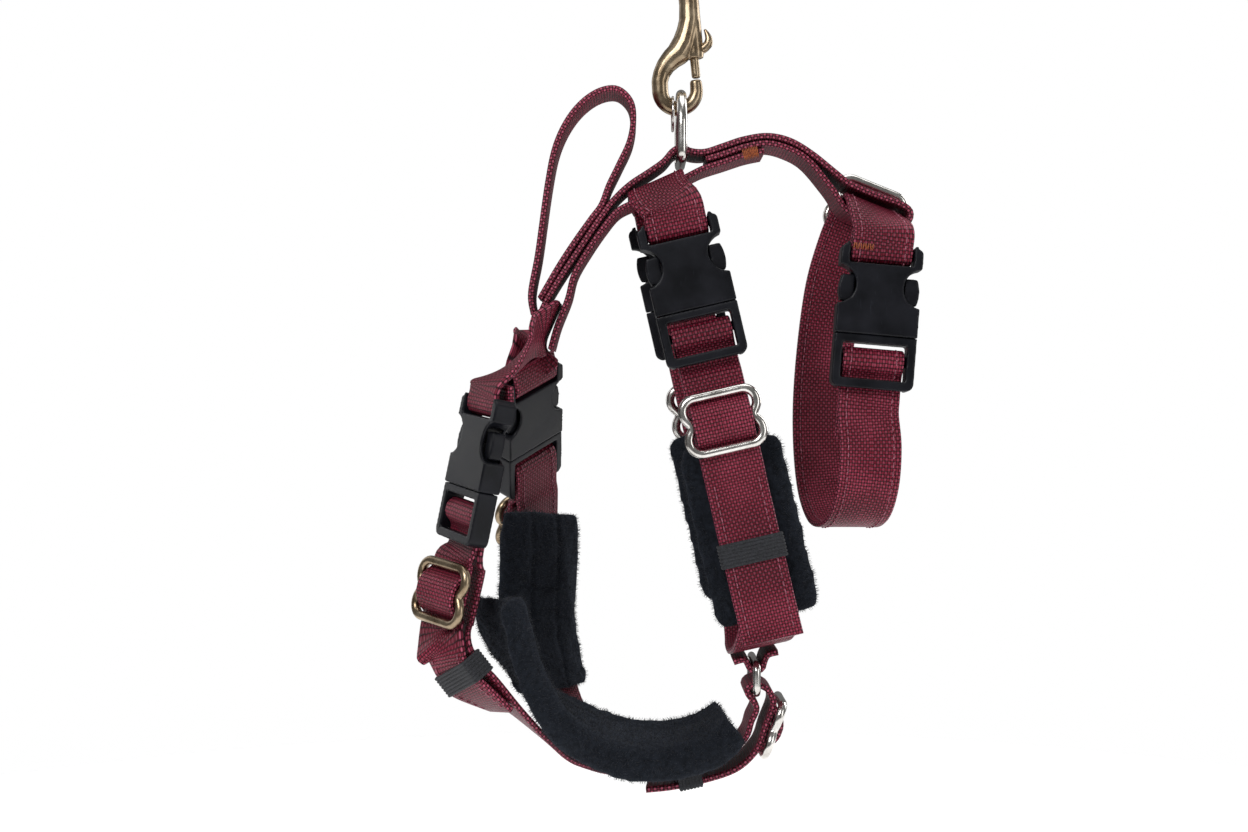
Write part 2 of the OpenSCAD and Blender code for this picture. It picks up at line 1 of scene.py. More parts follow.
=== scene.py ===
"""Padded dog harness of burgundy webbing, hanging from a bolt snap. Lengths in the lists are millimetres."""
import math

import bpy
import numpy as np
from mathutils import Euler, Matrix, Vector


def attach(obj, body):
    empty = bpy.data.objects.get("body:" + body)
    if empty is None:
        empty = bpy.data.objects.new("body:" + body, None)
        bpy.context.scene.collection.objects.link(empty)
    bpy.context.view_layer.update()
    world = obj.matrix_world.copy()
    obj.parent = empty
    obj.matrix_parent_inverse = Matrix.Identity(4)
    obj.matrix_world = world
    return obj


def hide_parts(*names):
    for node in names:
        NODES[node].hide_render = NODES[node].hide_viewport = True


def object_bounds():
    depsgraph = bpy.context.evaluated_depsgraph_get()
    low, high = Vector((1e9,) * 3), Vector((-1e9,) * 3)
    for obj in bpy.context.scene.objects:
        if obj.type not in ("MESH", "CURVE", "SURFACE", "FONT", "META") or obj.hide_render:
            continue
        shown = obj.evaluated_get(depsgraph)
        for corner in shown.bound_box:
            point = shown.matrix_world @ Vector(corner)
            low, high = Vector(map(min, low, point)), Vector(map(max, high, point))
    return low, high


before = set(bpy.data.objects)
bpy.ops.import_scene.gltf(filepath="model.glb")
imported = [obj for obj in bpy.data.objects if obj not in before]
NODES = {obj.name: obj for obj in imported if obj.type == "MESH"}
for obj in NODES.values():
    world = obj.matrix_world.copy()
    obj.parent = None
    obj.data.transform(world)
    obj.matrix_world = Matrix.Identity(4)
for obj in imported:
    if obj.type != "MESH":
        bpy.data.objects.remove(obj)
cad_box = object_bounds()
MM = 0.001
TAU = 2 * math.pi

# ---------------------------------------------------------------- sizes, as in the CAD
STRAP_W = 23
PLY_T = 2.4
GAP = 0.3
PLUG_BAR_Z = 9
SOCKET_BAR_Z = 31.4
PAD_W = 40
PAD_T = 6
WIRE_R = 1.5
BOLD_WIRE_R = 1.75  # the sliders' frames, a little bolder than in the CAD
D_RING_R = 2
BAR_R = 1.6
BAR_Y = 0.6
LOOP_R = BAR_R + GAP + PLY_T / 2
OUTER_Y = 1.2
INNER_Y = OUTER_Y + PLY_T + 0.4
SLIDE_FRONT_Y = -1
SLIDE_BACK_Y = 4.8
SLIDE_Z = -43.5
NECK_SLIDE_Z = -38
KEPT_Y = 2.5
KEEPER_Z = -93
LIMB_END_Z = -121

# ---------------------------------------------------------------- sizes of the detail
WEBBING_T = PLY_T - 0.1
SHORT_WAVE = 5.3
LONG_WAVE = 13.7
STITCH_INSET = 3
STITCH_PITCH = 3.1
STITCH_R = 0.24
TACK_R = 0.3
TACK_PITCH = 0.75
EDGE_TACK_PITCH = 0.6
EDGE_TACK_LENGTH = 5.5
EDGE_TACK_HEIGHT = 4.6
SLIDER_HALF_X = 14
SLIDER_HALF_Z = 10.5
SLIDER_CORNER = 5
SLIDER_BAR_HALF = 11.8
SLIDER_BAR_R = 1.3
WAIST_DEPTH = 0.17  # the share of a slider's width that its waist takes away
WAIST_REACH = 2.6
KEEPER_LENGTH = 9.2
KEEPER_RIBS = 7
KEEPER_WALL = 0.75
KEEPER_CORNER = 1.6
RIB_DEPTH = 0.45
TAG_RING_R = 6.5
TAG_WIRE_R = 0.5
CAST_VOXEL = 0.28
MOULDED_VOXEL = 0.42
PAD_END_SHRINK = (0.88, 0.96, 1.0)  # the last ring at each end, the next one, and all the others
PAD_FIT = np.array([0.98, 0.93])
PAD_VOXEL = 2.0
PAD_SWELL = 1.6
GIRTH_PAD_SWELL = 0.6  # less, as keepers slide over the girth pads
SWELL_FRAMES = 15
LUMP_HEIGHT = 0.28
CHANNEL_DEPTH = 0.5
CHANNEL_REACH = 1.1
CHANNEL_HALF_LENGTH = 14
PILE_LENGTH = 1.5
PILE_DENSITY = 1.6
FIBRE_R = 0.075
BARE_HALF_WIDTH = STRAP_W / 2 + 3.5
BARE_DEPTH = 4.5


# ---------------------------------------------------------------- frames and routes
class Place:
    """The centre of a buckle's seam, and the turns about X, Y and Z that set it in the harness."""

    def __init__(self, centre, turns, flip=False):
        self.centre = Vector(centre)
        self.turn = Euler([math.radians(a) for a in turns]).to_matrix()
        self.flip = flip

    def at(self, x, y, z):
        return self.centre + self.turn @ Vector((x, -y if self.flip else y, z))

    def row(self, x, y, z):
        return self.at(x, y, z), self.turn @ Vector((1, 0, 0))


GIRTH_NEAR = Place((4.9, -24, -154), (-3, -13, 0))
GIRTH_FAR = Place((1.9, 24, -149), (3, -13, 0), flip=True)
NECK_NEAR = Place((-79, -31, -221), (-10, 6, -60))
NECK_FAR = Place((-61, 33, -205), (-25, 24, -136))
BELLY = Place((72.4, -22, -164), (-3, 5, 0))
SNAP = Place((0, 0, 0), (0, -5.5, 0))
NECK_SLIDE = Place(NECK_NEAR.at(0, 0, -40), (-10, 6, -49))
CHEST_SLIDE = Place((31.2, 0, -313.4), (20, 0, 90))
BELLY_SLIDE = Place((75, 20.2, -112), (0, 22, 0))
NECK_KEEPER = Place((-81.4, -35.8, -289.2), (32, -21.6, -56.8))
CHEST_KEEPER = Place((2, 0, -333), (-78.7, -0.9, -85.4))
BUCKLES = {"girth_near": GIRTH_NEAR, "girth_far": GIRTH_FAR, "neck_near": NECK_NEAR,
           "neck_far": NECK_FAR, "belly": BELLY}


def plug_loop(f):
    """Webbing through a plug: the outer ply, round the bar, then the inner ply."""
    turns = [math.radians(a) for a in (45, 90, 135)]
    return [
        f.row(0, OUTER_Y, -23), f.row(0, OUTER_Y + 0.1, -18.5), f.row(0, 0.8, -14.6),
        f.row(0, BAR_Y - LOOP_R + 0.5, -11.5), f.row(0, BAR_Y - LOOP_R, -PLUG_BAR_Z),
        *[f.row(0, BAR_Y - LOOP_R * math.cos(a), LOOP_R * math.sin(a) - PLUG_BAR_Z) for a in turns],
        f.row(0, BAR_Y + LOOP_R, -PLUG_BAR_Z), f.row(0, INNER_Y, -14), f.row(0, INNER_Y, -23)]


def socket_loop(f):
    """Webbing round a socket's bar: the front ply comes down, the sewn end goes up."""
    turns = [math.radians(a) for a in (45, 90, 135)]
    return [
        f.row(0, -1.6, SOCKET_BAR_Z + 9), f.row(0, BAR_Y - LOOP_R, SOCKET_BAR_Z + 3),
        f.row(0, BAR_Y - LOOP_R, SOCKET_BAR_Z),
        *[f.row(0, BAR_Y - LOOP_R * math.cos(a), SOCKET_BAR_Z - LOOP_R * math.sin(a)) for a in turns],
        f.row(0, BAR_Y + LOOP_R, SOCKET_BAR_Z), f.row(0, BAR_Y + LOOP_R - 0.4, SOCKET_BAR_Z + 4),
        f.row(0, BAR_Y + LOOP_R - 1.6, SOCKET_BAR_Z + 8.5)]


def limb(f, tail_z, end_z):
    """Tail, outer ply over the slider's bar, plug loop, inner ply, and on down."""
    return [
        f.row(0, OUTER_Y - 1.2, tail_z), f.row(0, OUTER_Y, tail_z + 6), f.row(0, OUTER_Y, tail_z + 12),
        f.row(0, OUTER_Y, KEEPER_Z), f.row(0, OUTER_Y, -70), f.row(0, SLIDE_FRONT_Y, -61),
        f.row(0, SLIDE_FRONT_Y, -44), f.row(0, SLIDE_FRONT_Y, -27), *plug_loop(f),
        f.row(0, SLIDE_BACK_Y, -28), f.row(0, SLIDE_BACK_Y, -60), f.row(0, INNER_Y, -70),
        f.row(0, INNER_Y, KEEPER_Z), f.row(0, INNER_Y, end_z + 10), f.row(0, INNER_Y, end_z)]


def chest_rows(y, heights):
    return [(CHEST_SLIDE.at(0, y, z), Vector((0, -1, 0))) for z in heights]


def given(rows):
    """Rows written as point, direction of the strap's width."""
    return [(Vector(p), Vector(a)) for p, a in rows]


def upright(xz):
    """Rows of a strap that stands on edge in the plane Y = 0."""
    return [(Vector((x, 0, z)), Vector((0, 1, 0))) for x, z in xz]


X = (1, 0, 0)
NEG_Y = (0, -1, 0)
GIRTH_ACROSS = (math.cos(math.radians(24)), 0, math.sin(math.radians(24)))
BELLY_ACROSS = (math.cos(math.radians(22)), 0, -math.sin(math.radians(22)))
NECK_TUNNEL = (0.39, 0, 0.92)
NECK_FOLD = (0.72, -0.69, 0)
GIRTH_FOLD = (0.975, 0, 0.22)

ROUTES = {
    "spine_top_strap": upright([
        (-57.8, -166), (-55.8, -158.6), (-52.1, -150), (-45.4, -138.9), (-38, -128), (-32, -119),
        (-26.5, -111.5), (-20, -105.3), (-13, -100.6), (-7, -96.4), (-3.4, -92.4), (0, -91), (3.6, -92.4),
        (9, -92.6), (16, -90.4), (24, -87.8), (33, -86.5), (41.5, -88.4), (50, -93.4), (58, -99.8),
        (63.5, -104.2), (70, -107.4), (78, -110.4), (84, -112.6), (87.6, -115.2), (87.6, -118.6),
        (84.6, -121), (78, -119.6), (70, -117.9), (63.2, -114.8), (57.2, -106), (48.6, -95.8),
        (40.8, -91.2), (33, -89.3), (24.6, -90.6), (16.8, -93.2), (9.4, -95.4)]),
    "spine_under_strap": upright([
        (-50.4, -168.5), (-48, -160), (-43.8, -149.4), (-41.3, -139.8), (-35.5, -129.8), (-29.8, -121.4),
        (-24.6, -115.4), (-18, -112), (-10, -108.4), (-3, -105), (3.5, -101.4), (8.8, -98.8), (17, -96.2),
        (25, -93.6), (31.5, -92.2)]),
    "handle_loop": upright([
        (-57, -155), (-58, -147.4), (-55.6, -134), (-53.6, -120), (-51.4, -104), (-48.6, -91),
        (-44.4, -81.4), (-38.6, -74), (-31.6, -69.2), (-24.8, -68.4), (-19.8, -73), (-18.6, -80),
        (-20, -88.6), (-24.2, -97.6), (-28, -105.6), (-30.8, -113), (-34.8, -118.4), (-40.8, -126.9),
        (-47.8, -137.5), (-54.4, -149)]),
    "girth_top_strap": (
        socket_loop(GIRTH_NEAR)[::-1]
        + given([(p, GIRTH_ACROSS) for p in [
            (-7.2, -20.8, -111.6), (-9.2, -17.6, -108.4), (-9.9, -14.2, -105.8), (-10, -10, -104.6),
            (-10, 0, -104.2), (-10, 10, -104.4), (-9.9, 14.2, -104.9), (-9.4, 17.6, -106.1),
            (-8.6, 20.8, -107.7)]])
        + socket_loop(GIRTH_FAR)),
    "girth_near_strap": limb(GIRTH_NEAR, -127, LIMB_END_Z) + given([
        ((30.5, -19.5, -279.2), GIRTH_FOLD), ((29, -9, -282.4), GIRTH_FOLD),
        ((29, -0.2, -283.2), GIRTH_FOLD)]),
    "girth_far_strap": limb(GIRTH_FAR, -122, LIMB_END_Z + 2) + given([
        ((29.5, 18.5, -279.4), GIRTH_FOLD), ((29, 8.5, -282.5), GIRTH_FOLD),
        ((29, 0.2, -283.2), GIRTH_FOLD)]),
    "chest_strap": (
        given([((-67.6, -33, -303), (0.6, -0.8, 0))])
        + [NECK_KEEPER.row(0, -KEPT_Y, z) for z in (-5, 0, 5)] + given([((-88.6, -37, -279.4), NECK_FOLD)])
        + [NECK_SLIDE.row(0, SLIDE_FRONT_Y, z) for z in (-15, -5, 5, 13)] + plug_loop(NECK_NEAR)
        + [NECK_SLIDE.row(0, SLIDE_BACK_Y, z) for z in (12, 0, -13)]
        + [NECK_KEEPER.row(0, KEPT_Y, z) for z in (6, 0, -6)]
        + given([((-64.2, -28, -303.6), (0.45, -0.88, 0)), ((-54, -20, -314.4), (0.25, -0.95, 0)),
                 ((-42, -11, -324.5), (0.1, -1, 0)), ((-24, -4, -330.5), NEG_Y)])
        + [CHEST_KEEPER.row(0, -KEPT_Y, z) for z in (-6, 6)] + given([((16.4, 0, -325.4), NEG_Y)])
        + chest_rows(SLIDE_BACK_Y, (-7, 0, 6))
        + given([(p, NEG_Y) for p in [
            (25.3, 0, -300.6), (26.2, 0, -298.2), (28.5, 0, -297.2), (30.9, 0, -298.1), (33.8, 0, -300.2)]])
        + chest_rows(SLIDE_FRONT_Y, (9, 0, -9)) + given([((21.4, 0, -329.6), NEG_Y)])
        + [CHEST_KEEPER.row(0, KEPT_Y, z) for z in (6, -6)] + given([((-13, 0, -337.8), NEG_Y)])),
    "neck_far_strap": (
        [NECK_FAR.row(0, OUTER_Y, -67)] + [NECK_FAR.row(0, SLIDE_FRONT_Y, z) for z in (-57, -46, -27)]
        + plug_loop(NECK_FAR) + [NECK_FAR.row(0, SLIDE_BACK_Y, z) for z in (-28, -46, -56)]
        + given([((-57, 54, -266), (0.75, 0.65, 0)), ((-55, 49, -288), (0.75, 0.65, 0)),
                 ((-51, 36, -305), (0.7, 0.7, 0)), ((-44, 20, -317), (0.5, 0.85, 0)),
                 ((-36, 12, -324), (0.25, 0.95, 0))])),
    "neck_top_strap": (
        socket_loop(NECK_NEAR)[::-1]
        + given([((-61.4, -20, -172.6), (0.6, -0.3, 0.7)), ((-55.6, -15.6, -164.6), (0.4, 0, 0.9)),
                 ((-52.4, -11, -160.6), NECK_TUNNEL), ((-52.1, 0, -160.4), NECK_TUNNEL),
                 ((-52.4, 10.6, -160.6), NECK_TUNNEL), ((-56, 14.4, -165.4), (0.2, 0.4, 0.9))])
        + socket_loop(NECK_FAR)),
    "belly_strap": (
        [BELLY.row(0, INNER_Y, -40), BELLY.row(0, INNER_Y, -30)] + plug_loop(BELLY)[::-1]
        + [BELLY.row(0, 0, -30)]
        + given([(p, X) for p in [
            (70.4, -26, -206), (69.6, -25, -220), (67.6, -18, -231), (64.6, -6, -236), (61.6, 8, -234),
            (58.8, 19, -222), (57.6, 24, -200), (58.6, 24.5, -175), (62, 21.5, -145)]])
        + given([(p, BELLY_ACROSS) for p in [
            (67, 18, -126), (71, 13.6, -116), (73, 8, -113.2), (73.4, 0, -113.2), (73.4, -8, -113.2),
            (74, -13.8, -116.4)]])
        + socket_loop(BELLY)),
    "ring_tab": upright([(20, -288.9), (24, -287.9), (25.4, -289.6), (26.2, -291.3), (28.5, -292.4),
                         (31, -291), (31.7, -288.6), (33.2, -286), (37, -285)]),
}


def limb_pad(f, top_z, bottom_z):
    return [f.row(1, 10.2 + 3 * s * s, top_z + (bottom_z - top_z) * s) for s in (0, 0.25, 0.5, 0.75, 1)]


FLAT_PAD = [(-side * k * PAD_W / 4, side * PAD_T / 2 * (0.6 if abs(k) == 2 else 1))
            for side in (-1, 1) for k in range(-2, 3)]
# The chest pad is a trough: a thick near rim hangs over the strap, and the far edge rises.
TROUGH = [(-20.4, -6.4), (-16, -5.8), (-10, -4.9), (0, -4.8), (11.5, -5), (17, -5.2), (21, -3),
          (22.4, 2.6), (21.6, 7.4), (18.6, 8.2), (16.8, 6.2), (16, 1), (8, -0.7), (-6, -0.8), (-14, -1.4),
          (-20, -3)]
PADS = {
    "girth_near_pad": (limb_pad(GIRTH_NEAR, -51, -120), FLAT_PAD),
    "girth_far_pad": (limb_pad(GIRTH_FAR, -51, -118), FLAT_PAD),
    "chest_pad": (given([
        ((-72.6, -22.6, -263), (0.6, -0.8, 0)), ((-69.6, -22, -276), (0.6, -0.8, 0)),
        ((-64.6, -21.4, -288), (0.55, -0.83, -0.05)), ((-58, -18.6, -298.6), (0.45, -0.88, -0.1)),
        ((-49, -13.6, -308), (0.25, -0.95, -0.1)), ((-36.6, -7, -316.2), (0.1, -1, -0.1)),
        ((-22, -3, -322.2), (0, -1, -0.1)), ((-7, -1, -323.6), (0, -1, -0.1)),
        ((6, 0, -321), (0, -1, -0.1)), ((13.4, 0, -317), (0, -1, -0.1)),
        ((19, 0, -311.6), (0, -1, -0.1))]), TROUGH),
    "neck_far_pad": (given([
        ((-55.4, 36, -234), (0.75, 0.65, 0)), ((-56.4, 36, -246), (0.75, 0.65, 0)),
        ((-57, 37, -259), (0.75, 0.65, 0)), ((-57.6, 36.4, -272), (0.75, 0.65, 0)),
        ((-56.6, 34, -286), (0.75, 0.65, 0)), ((-53.6, 29.6, -297), (0.7, 0.7, 0)),
        ((-50, 26, -305), (0.68, 0.73, 0))]), FLAT_PAD),
}


# ---------------------------------------------------------------- sweeping
def smooth(route, steps):
    """Points of the Catmull-Rom curve through the rows, as in the CAD."""
    rows = [np.array([list(p), list(a)]) for p, a in route]
    found = []
    for i in range(len(rows) - 1):
        a, b, c = rows[max(i - 1, 0)], rows[i], rows[i + 1]
        d = rows[min(i + 2, len(rows) - 1)]
        for t in np.arange(steps) / steps:
            found.append(0.5 * (2 * b + (c - a) * t + (2 * a - 5 * b + 4 * c - d) * t ** 2
                                + (3 * b - a - 3 * c + d) * t ** 3))
    found.append(rows[-1])
    return np.array(found)


def unit_rows(v):
    return v / np.linalg.norm(v, axis=1)[:, None]


class Ribbon:
    """A route at an even spacing, with its own directions: along, across and out of the face."""

    def __init__(self, route, spacing=1.2):
        fine = smooth(route, 12)
        walked = np.concatenate([[0], np.cumsum(np.linalg.norm(np.diff(fine[:, 0], axis=0), axis=1))])
        self.length = walked[-1]
        self.s = np.linspace(0, self.length, max(3, int(self.length / spacing)))
        pick = lambda k: np.stack([np.interp(self.s, walked, fine[:, k, i]) for i in range(3)], 1)
        self.p = pick(0)
        self.along = unit_rows(np.gradient(self.p, axis=0))
        a = pick(1)
        self.across = unit_rows(a - self.along * np.sum(a * self.along, 1)[:, None])
        self.out = np.cross(self.along, self.across)

    def point(self, s, x, y):
        """The place s along, x across and y out of the middle of the ply."""
        at = lambda v: np.array([np.interp(s, self.s, v[:, i]) for i in range(3)])
        return at(self.p) + at(self.across) * x + at(self.out) * y


def new_piece(name, verts, faces, uv=None, material=None):
    """A mesh object from points in millimetres. uv is one pair for each corner of each face."""
    mesh = bpy.data.meshes.new(name)
    mesh.from_pydata((np.asarray(verts) * MM).tolist(), [], faces)
    if uv is not None:
        layer = mesh.uv_layers.new(name="Weave")
        layer.data.foreach_set("uv", np.asarray(uv, np.float32).ravel())
    mesh.polygons.foreach_set("use_smooth", [True] * len(mesh.polygons))
    obj = bpy.data.objects.new(name, mesh)
    bpy.context.scene.collection.objects.link(obj)
    if material:
        mesh.materials.append(material)
    return obj


def ring_faces(rings, n, closed=False):
    """Quads between rings of n points each, and the corner's place in the ring and the section."""
    faces, corners = [], []
    for i in range(rings if closed else rings - 1):
        k = (i + 1) % rings
        for j in range(n):
            m = (j + 1) % n
            faces.append((i * n + j, i * n + m, k * n + m, k * n + j))
            corners.append(((i, j), (i, j + 1), (i + 1, j + 1), (i + 1, j)))
    return faces, corners


def band_section(w):
    """Webbing's flat section with round edges, from the middle of the front face: (across, out)."""
    corner, flats, bends = 0.85, 6, 3
    half, thick = w / 2, WEBBING_T / 2
    quarter = []
    for j in range(bends + 1):
        a = math.pi / 2 * j / bends
        quarter.append((half - corner + corner * math.sin(a), thick - corner + corner * math.cos(a)))
    face = [((half - corner) * k / flats, thick) for k in range(flats)]
    right = face + quarter
    down = [(x, -y) for x, y in reversed(right)]
    left = [(-x, y) for x, y in reversed(right + down)]
    section = right + down + left
    kept = [section[0]]
    for q in section[1:]:
        if math.dist(q, kept[-1]) > 1e-6:
            kept.append(q)
    return kept[:-1] if math.dist(kept[0], kept[-1]) < 1e-6 else kept


def webbing(name, route, body="harness", w=STRAP_W, replace=True, waves=0.06):
    """A woven strap. Its Weave map holds millimetres along and round it, and side marks its edges."""
    r = Ribbon(route)
    section = np.array(band_section(w))
    n, rings = len(section), len(r.s)
    wave = waves * np.sin(r.s / SHORT_WAVE + len(name)) * np.sin(r.s / LONG_WAVE + 1)
    verts = (r.p[:, None] + r.across[:, None] * section[None, :, :1]
             + r.out[:, None] * (section[None, :, 1:] + wave[:, None, None])).reshape(-1, 3)
    faces, corners = ring_faces(rings, n)
    edge = np.clip((np.abs(section[:, 0]) - (w / 2 - 0.9)) / 0.5, 0, 1)
    steps = np.linalg.norm(np.roll(section, -1, 0) - section, axis=1)
    round_v = np.concatenate([[0], np.cumsum(steps)])
    uv = [(r.s[i], round_v[j]) for c in corners for i, j in c]
    for i, order in ((0, range(n - 1, -1, -1)), (rings - 1, range(n))):
        faces.append([i * n + j for j in order])
        uv += [(r.s[i] + section[j][1], section[j][0]) for j in order]
    obj = new_piece(name + "_webbing", verts, faces, uv, WEBBING)
    side = obj.data.attributes.new("side", "FLOAT", "POINT")
    side.data.foreach_set("value", np.tile(edge, rings).astype(np.float32))
    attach(obj, body)
    if replace:
        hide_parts(name)
    return r


def tube_mesh(paths, radius):
    """Many short closed tubes as one list of points and faces. Each path is 3 or more points."""
    sides, end_taper = 6, 0.35
    verts, faces = [], []
    for path in paths:
        path = np.asarray(path, float)
        tangent = unit_rows(np.gradient(path, axis=0))
        side = unit_rows(np.cross(tangent, tangent[0] + (0.13, 0.7, 0.31)))
        other = np.cross(tangent, side)
        first = len(verts)
        count = len(path)
        for i in range(count):
            r = radius * (end_taper if i in (0, count - 1) else 1)
            for j in range(sides):
                a = TAU * j / sides
                verts.append(path[i] + side[i] * r * math.cos(a) + other[i] * r * math.sin(a))
        for i in range(count - 1):
            for j in range(sides):
                m = (j + 1) % sides
                faces.append((first + i * sides + j, first + i * sides + m,
                              first + (i + 1) * sides + m, first + (i + 1) * sides + j))
        faces.append([first + j for j in range(sides - 1, -1, -1)])
        faces.append([first + (count - 1) * sides + j for j in range(sides)])
    return verts, faces


def stitches(name, r, start, end):
    """A row of lockstitch dashes near each edge, on both faces, from start to end along the strap."""
    dash = [(0, -0.35), (0.35, 0.1), (1.1, 0.22), (1.85, 0.1), (2.2, -0.35)]
    paths = []
    top = PLY_T / 2 - 0.05
    for face in (1, -1):
        for x in (-STRAP_W / 2 + STITCH_INSET, STRAP_W / 2 - STITCH_INSET):
            for s in np.arange(start + 1, end - 2.4, STITCH_PITCH):
                paths.append([r.point(s + d, x, face * (top + h)) for d, h in dash])
    obj = new_piece(name, *tube_mesh(paths, STITCH_R), material=THREAD)
    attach(obj, "harness")


def bar_tack(name, r, s, length, width, centre):
    """A dense zigzag of thread on the front of the strap, at s along it and centre across it."""
    top = PLY_T / 2 + 0.05
    paths = []
    count = int(width / TACK_PITCH)
    for k in range(count):
        x = centre - width / 2 + width * k / (count - 1)
        lean = 0.35 if k % 2 else -0.35
        span = np.linspace(-length / 2, length / 2, 5)
        height = [-0.3, 0.25, 0.3, 0.25, -0.3]
        paths.append([r.point(s + d, x + lean * d / length, top + h) for d, h in zip(span, height)])
    obj = new_piece(name, *tube_mesh(paths, TACK_R), material=TACK_THREAD)
    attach(obj, "harness")


def edge_tack(name, r, s, side):
    """Thread sewn round the plies at a strap's edge."""
    paths = []
    for d in np.arange(0, EDGE_TACK_LENGTH, EDGE_TACK_PITCH):
        rise = np.linspace(-EDGE_TACK_HEIGHT / 2, EDGE_TACK_HEIGHT / 2, 5)
        out = [0.05, 0.3, 0.36, 0.3, 0.05]
        paths.append([r.point(s + d, side * (STRAP_W / 2 + o), y) for y, o in zip(rise, out)])
    obj = new_piece(name, *tube_mesh(paths, TACK_R), material=TACK_THREAD)
    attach(obj, "harness")


def wire(name, points, radius, normal, body, material, closed=True):
    """A round wire through points that lie in the plane square to normal. radius may be a list."""
    sides = 16
    p = np.asarray([list(q) for q in points], float)
    ahead = np.roll(p, -1, 0) - np.roll(p, 1, 0)
    if not closed:
        ahead = np.gradient(p, axis=0)
    tangent = unit_rows(ahead)
    n = np.tile(np.array(normal, float) / np.linalg.norm(normal), (len(p), 1))
    side = np.cross(tangent, n)
    radii = np.broadcast_to(radius, len(p))
    verts = []
    for i in range(len(p)):
        for j in range(sides):
            a = TAU * j / sides
            verts.append(p[i] + side[i] * radii[i] * math.cos(a) + n[i] * radii[i] * math.sin(a))
    faces, _ = ring_faces(len(p), sides, closed)
    if not closed:
        faces.append(list(range(sides - 1, -1, -1)))
        faces.append([(len(p) - 1) * sides + j for j in range(sides)])
    obj = new_piece(name, verts, faces, material=material)
    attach(obj, body)
    return obj


def join(pieces):
    """Makes all the pieces part of the first one."""
    with bpy.context.temp_override(active_object=pieces[0], selected_editable_objects=pieces):
        bpy.ops.object.join()
    return pieces[0]


# ---------------------------------------------------------------- materials
class Shader:
    """Short calls for building a node material."""

    def __init__(self, name):
        self.material = bpy.data.materials.new(name)
        self.material.use_nodes = True
        self.tree = self.material.node_tree
        self.main = self.tree.nodes["Principled BSDF"]

    def node(self, kind, inputs=(), **settings):
        n = self.tree.nodes.new(kind)
        for k, v in settings.items():
            setattr(n, k, v)
        for k, v in dict(inputs).items():
            self.feed(n.inputs[k], v)
        return n

    def feed(self, socket, value):
        if isinstance(value, bpy.types.NodeSocket):
            self.tree.links.new(value, socket)
        elif isinstance(value, bpy.types.Node):
            self.tree.links.new(value.outputs[0], socket)
        else:
            socket.default_value = value

    def math(self, operation, a, b=0.0):
        return self.node("ShaderNodeMath", {0: a, 1: b}, operation=operation).outputs[0]

    def noise(self, vector, scale, detail=2.0, rough=0.5):
        return self.node("ShaderNodeTexNoise", {"Vector": vector, "Scale": scale, "Detail": detail,
                                                "Roughness": rough}).outputs["Fac"]

    def remap(self, value, a, b, low=0.0, high=1.0):
        return self.node("ShaderNodeMapRange", {0: value, 1: a, 2: b, 3: low, 4: high}).outputs[0]

    def mix(self, share, a, b):
        n = self.node("ShaderNodeMix", data_type="RGBA")
        for socket, value in ((n.inputs[0], share), (n.inputs[6], a), (n.inputs[7], b)):
            self.feed(socket, value)
        return n.outputs[2]

    def place(self):
        return self.node("ShaderNodeTexCoord").outputs["Object"]

    def bump(self, height, strength, distance):
        inputs = {"Height": height, "Strength": strength, "Distance": distance}
        return self.node("ShaderNodeBump", inputs).outputs[0]

    def set(self, **values):
        names = {"color": "Base Color", "rough": "Roughness", "metal": "Metallic", "normal": "Normal",
                 "sheen": "Sheen Weight", "sheen_rough": "Sheen Roughness", "sheen_tint": "Sheen Tint",
                 "specular": "Specular IOR Level"}
        for k, v in values.items():
            self.feed(self.main.inputs[names[k]], v)
        return self.material


def rgb(r, g, b):
    """A colour as a screen shows it, 0 to 255, in the linear values that a shader takes."""
    line = lambda c: c / 12.92 if c <= 0.04045 else ((c + 0.055) / 1.055) ** 2.4
    return (*[line(c / 255) for c in (r, g, b)], 1.0)


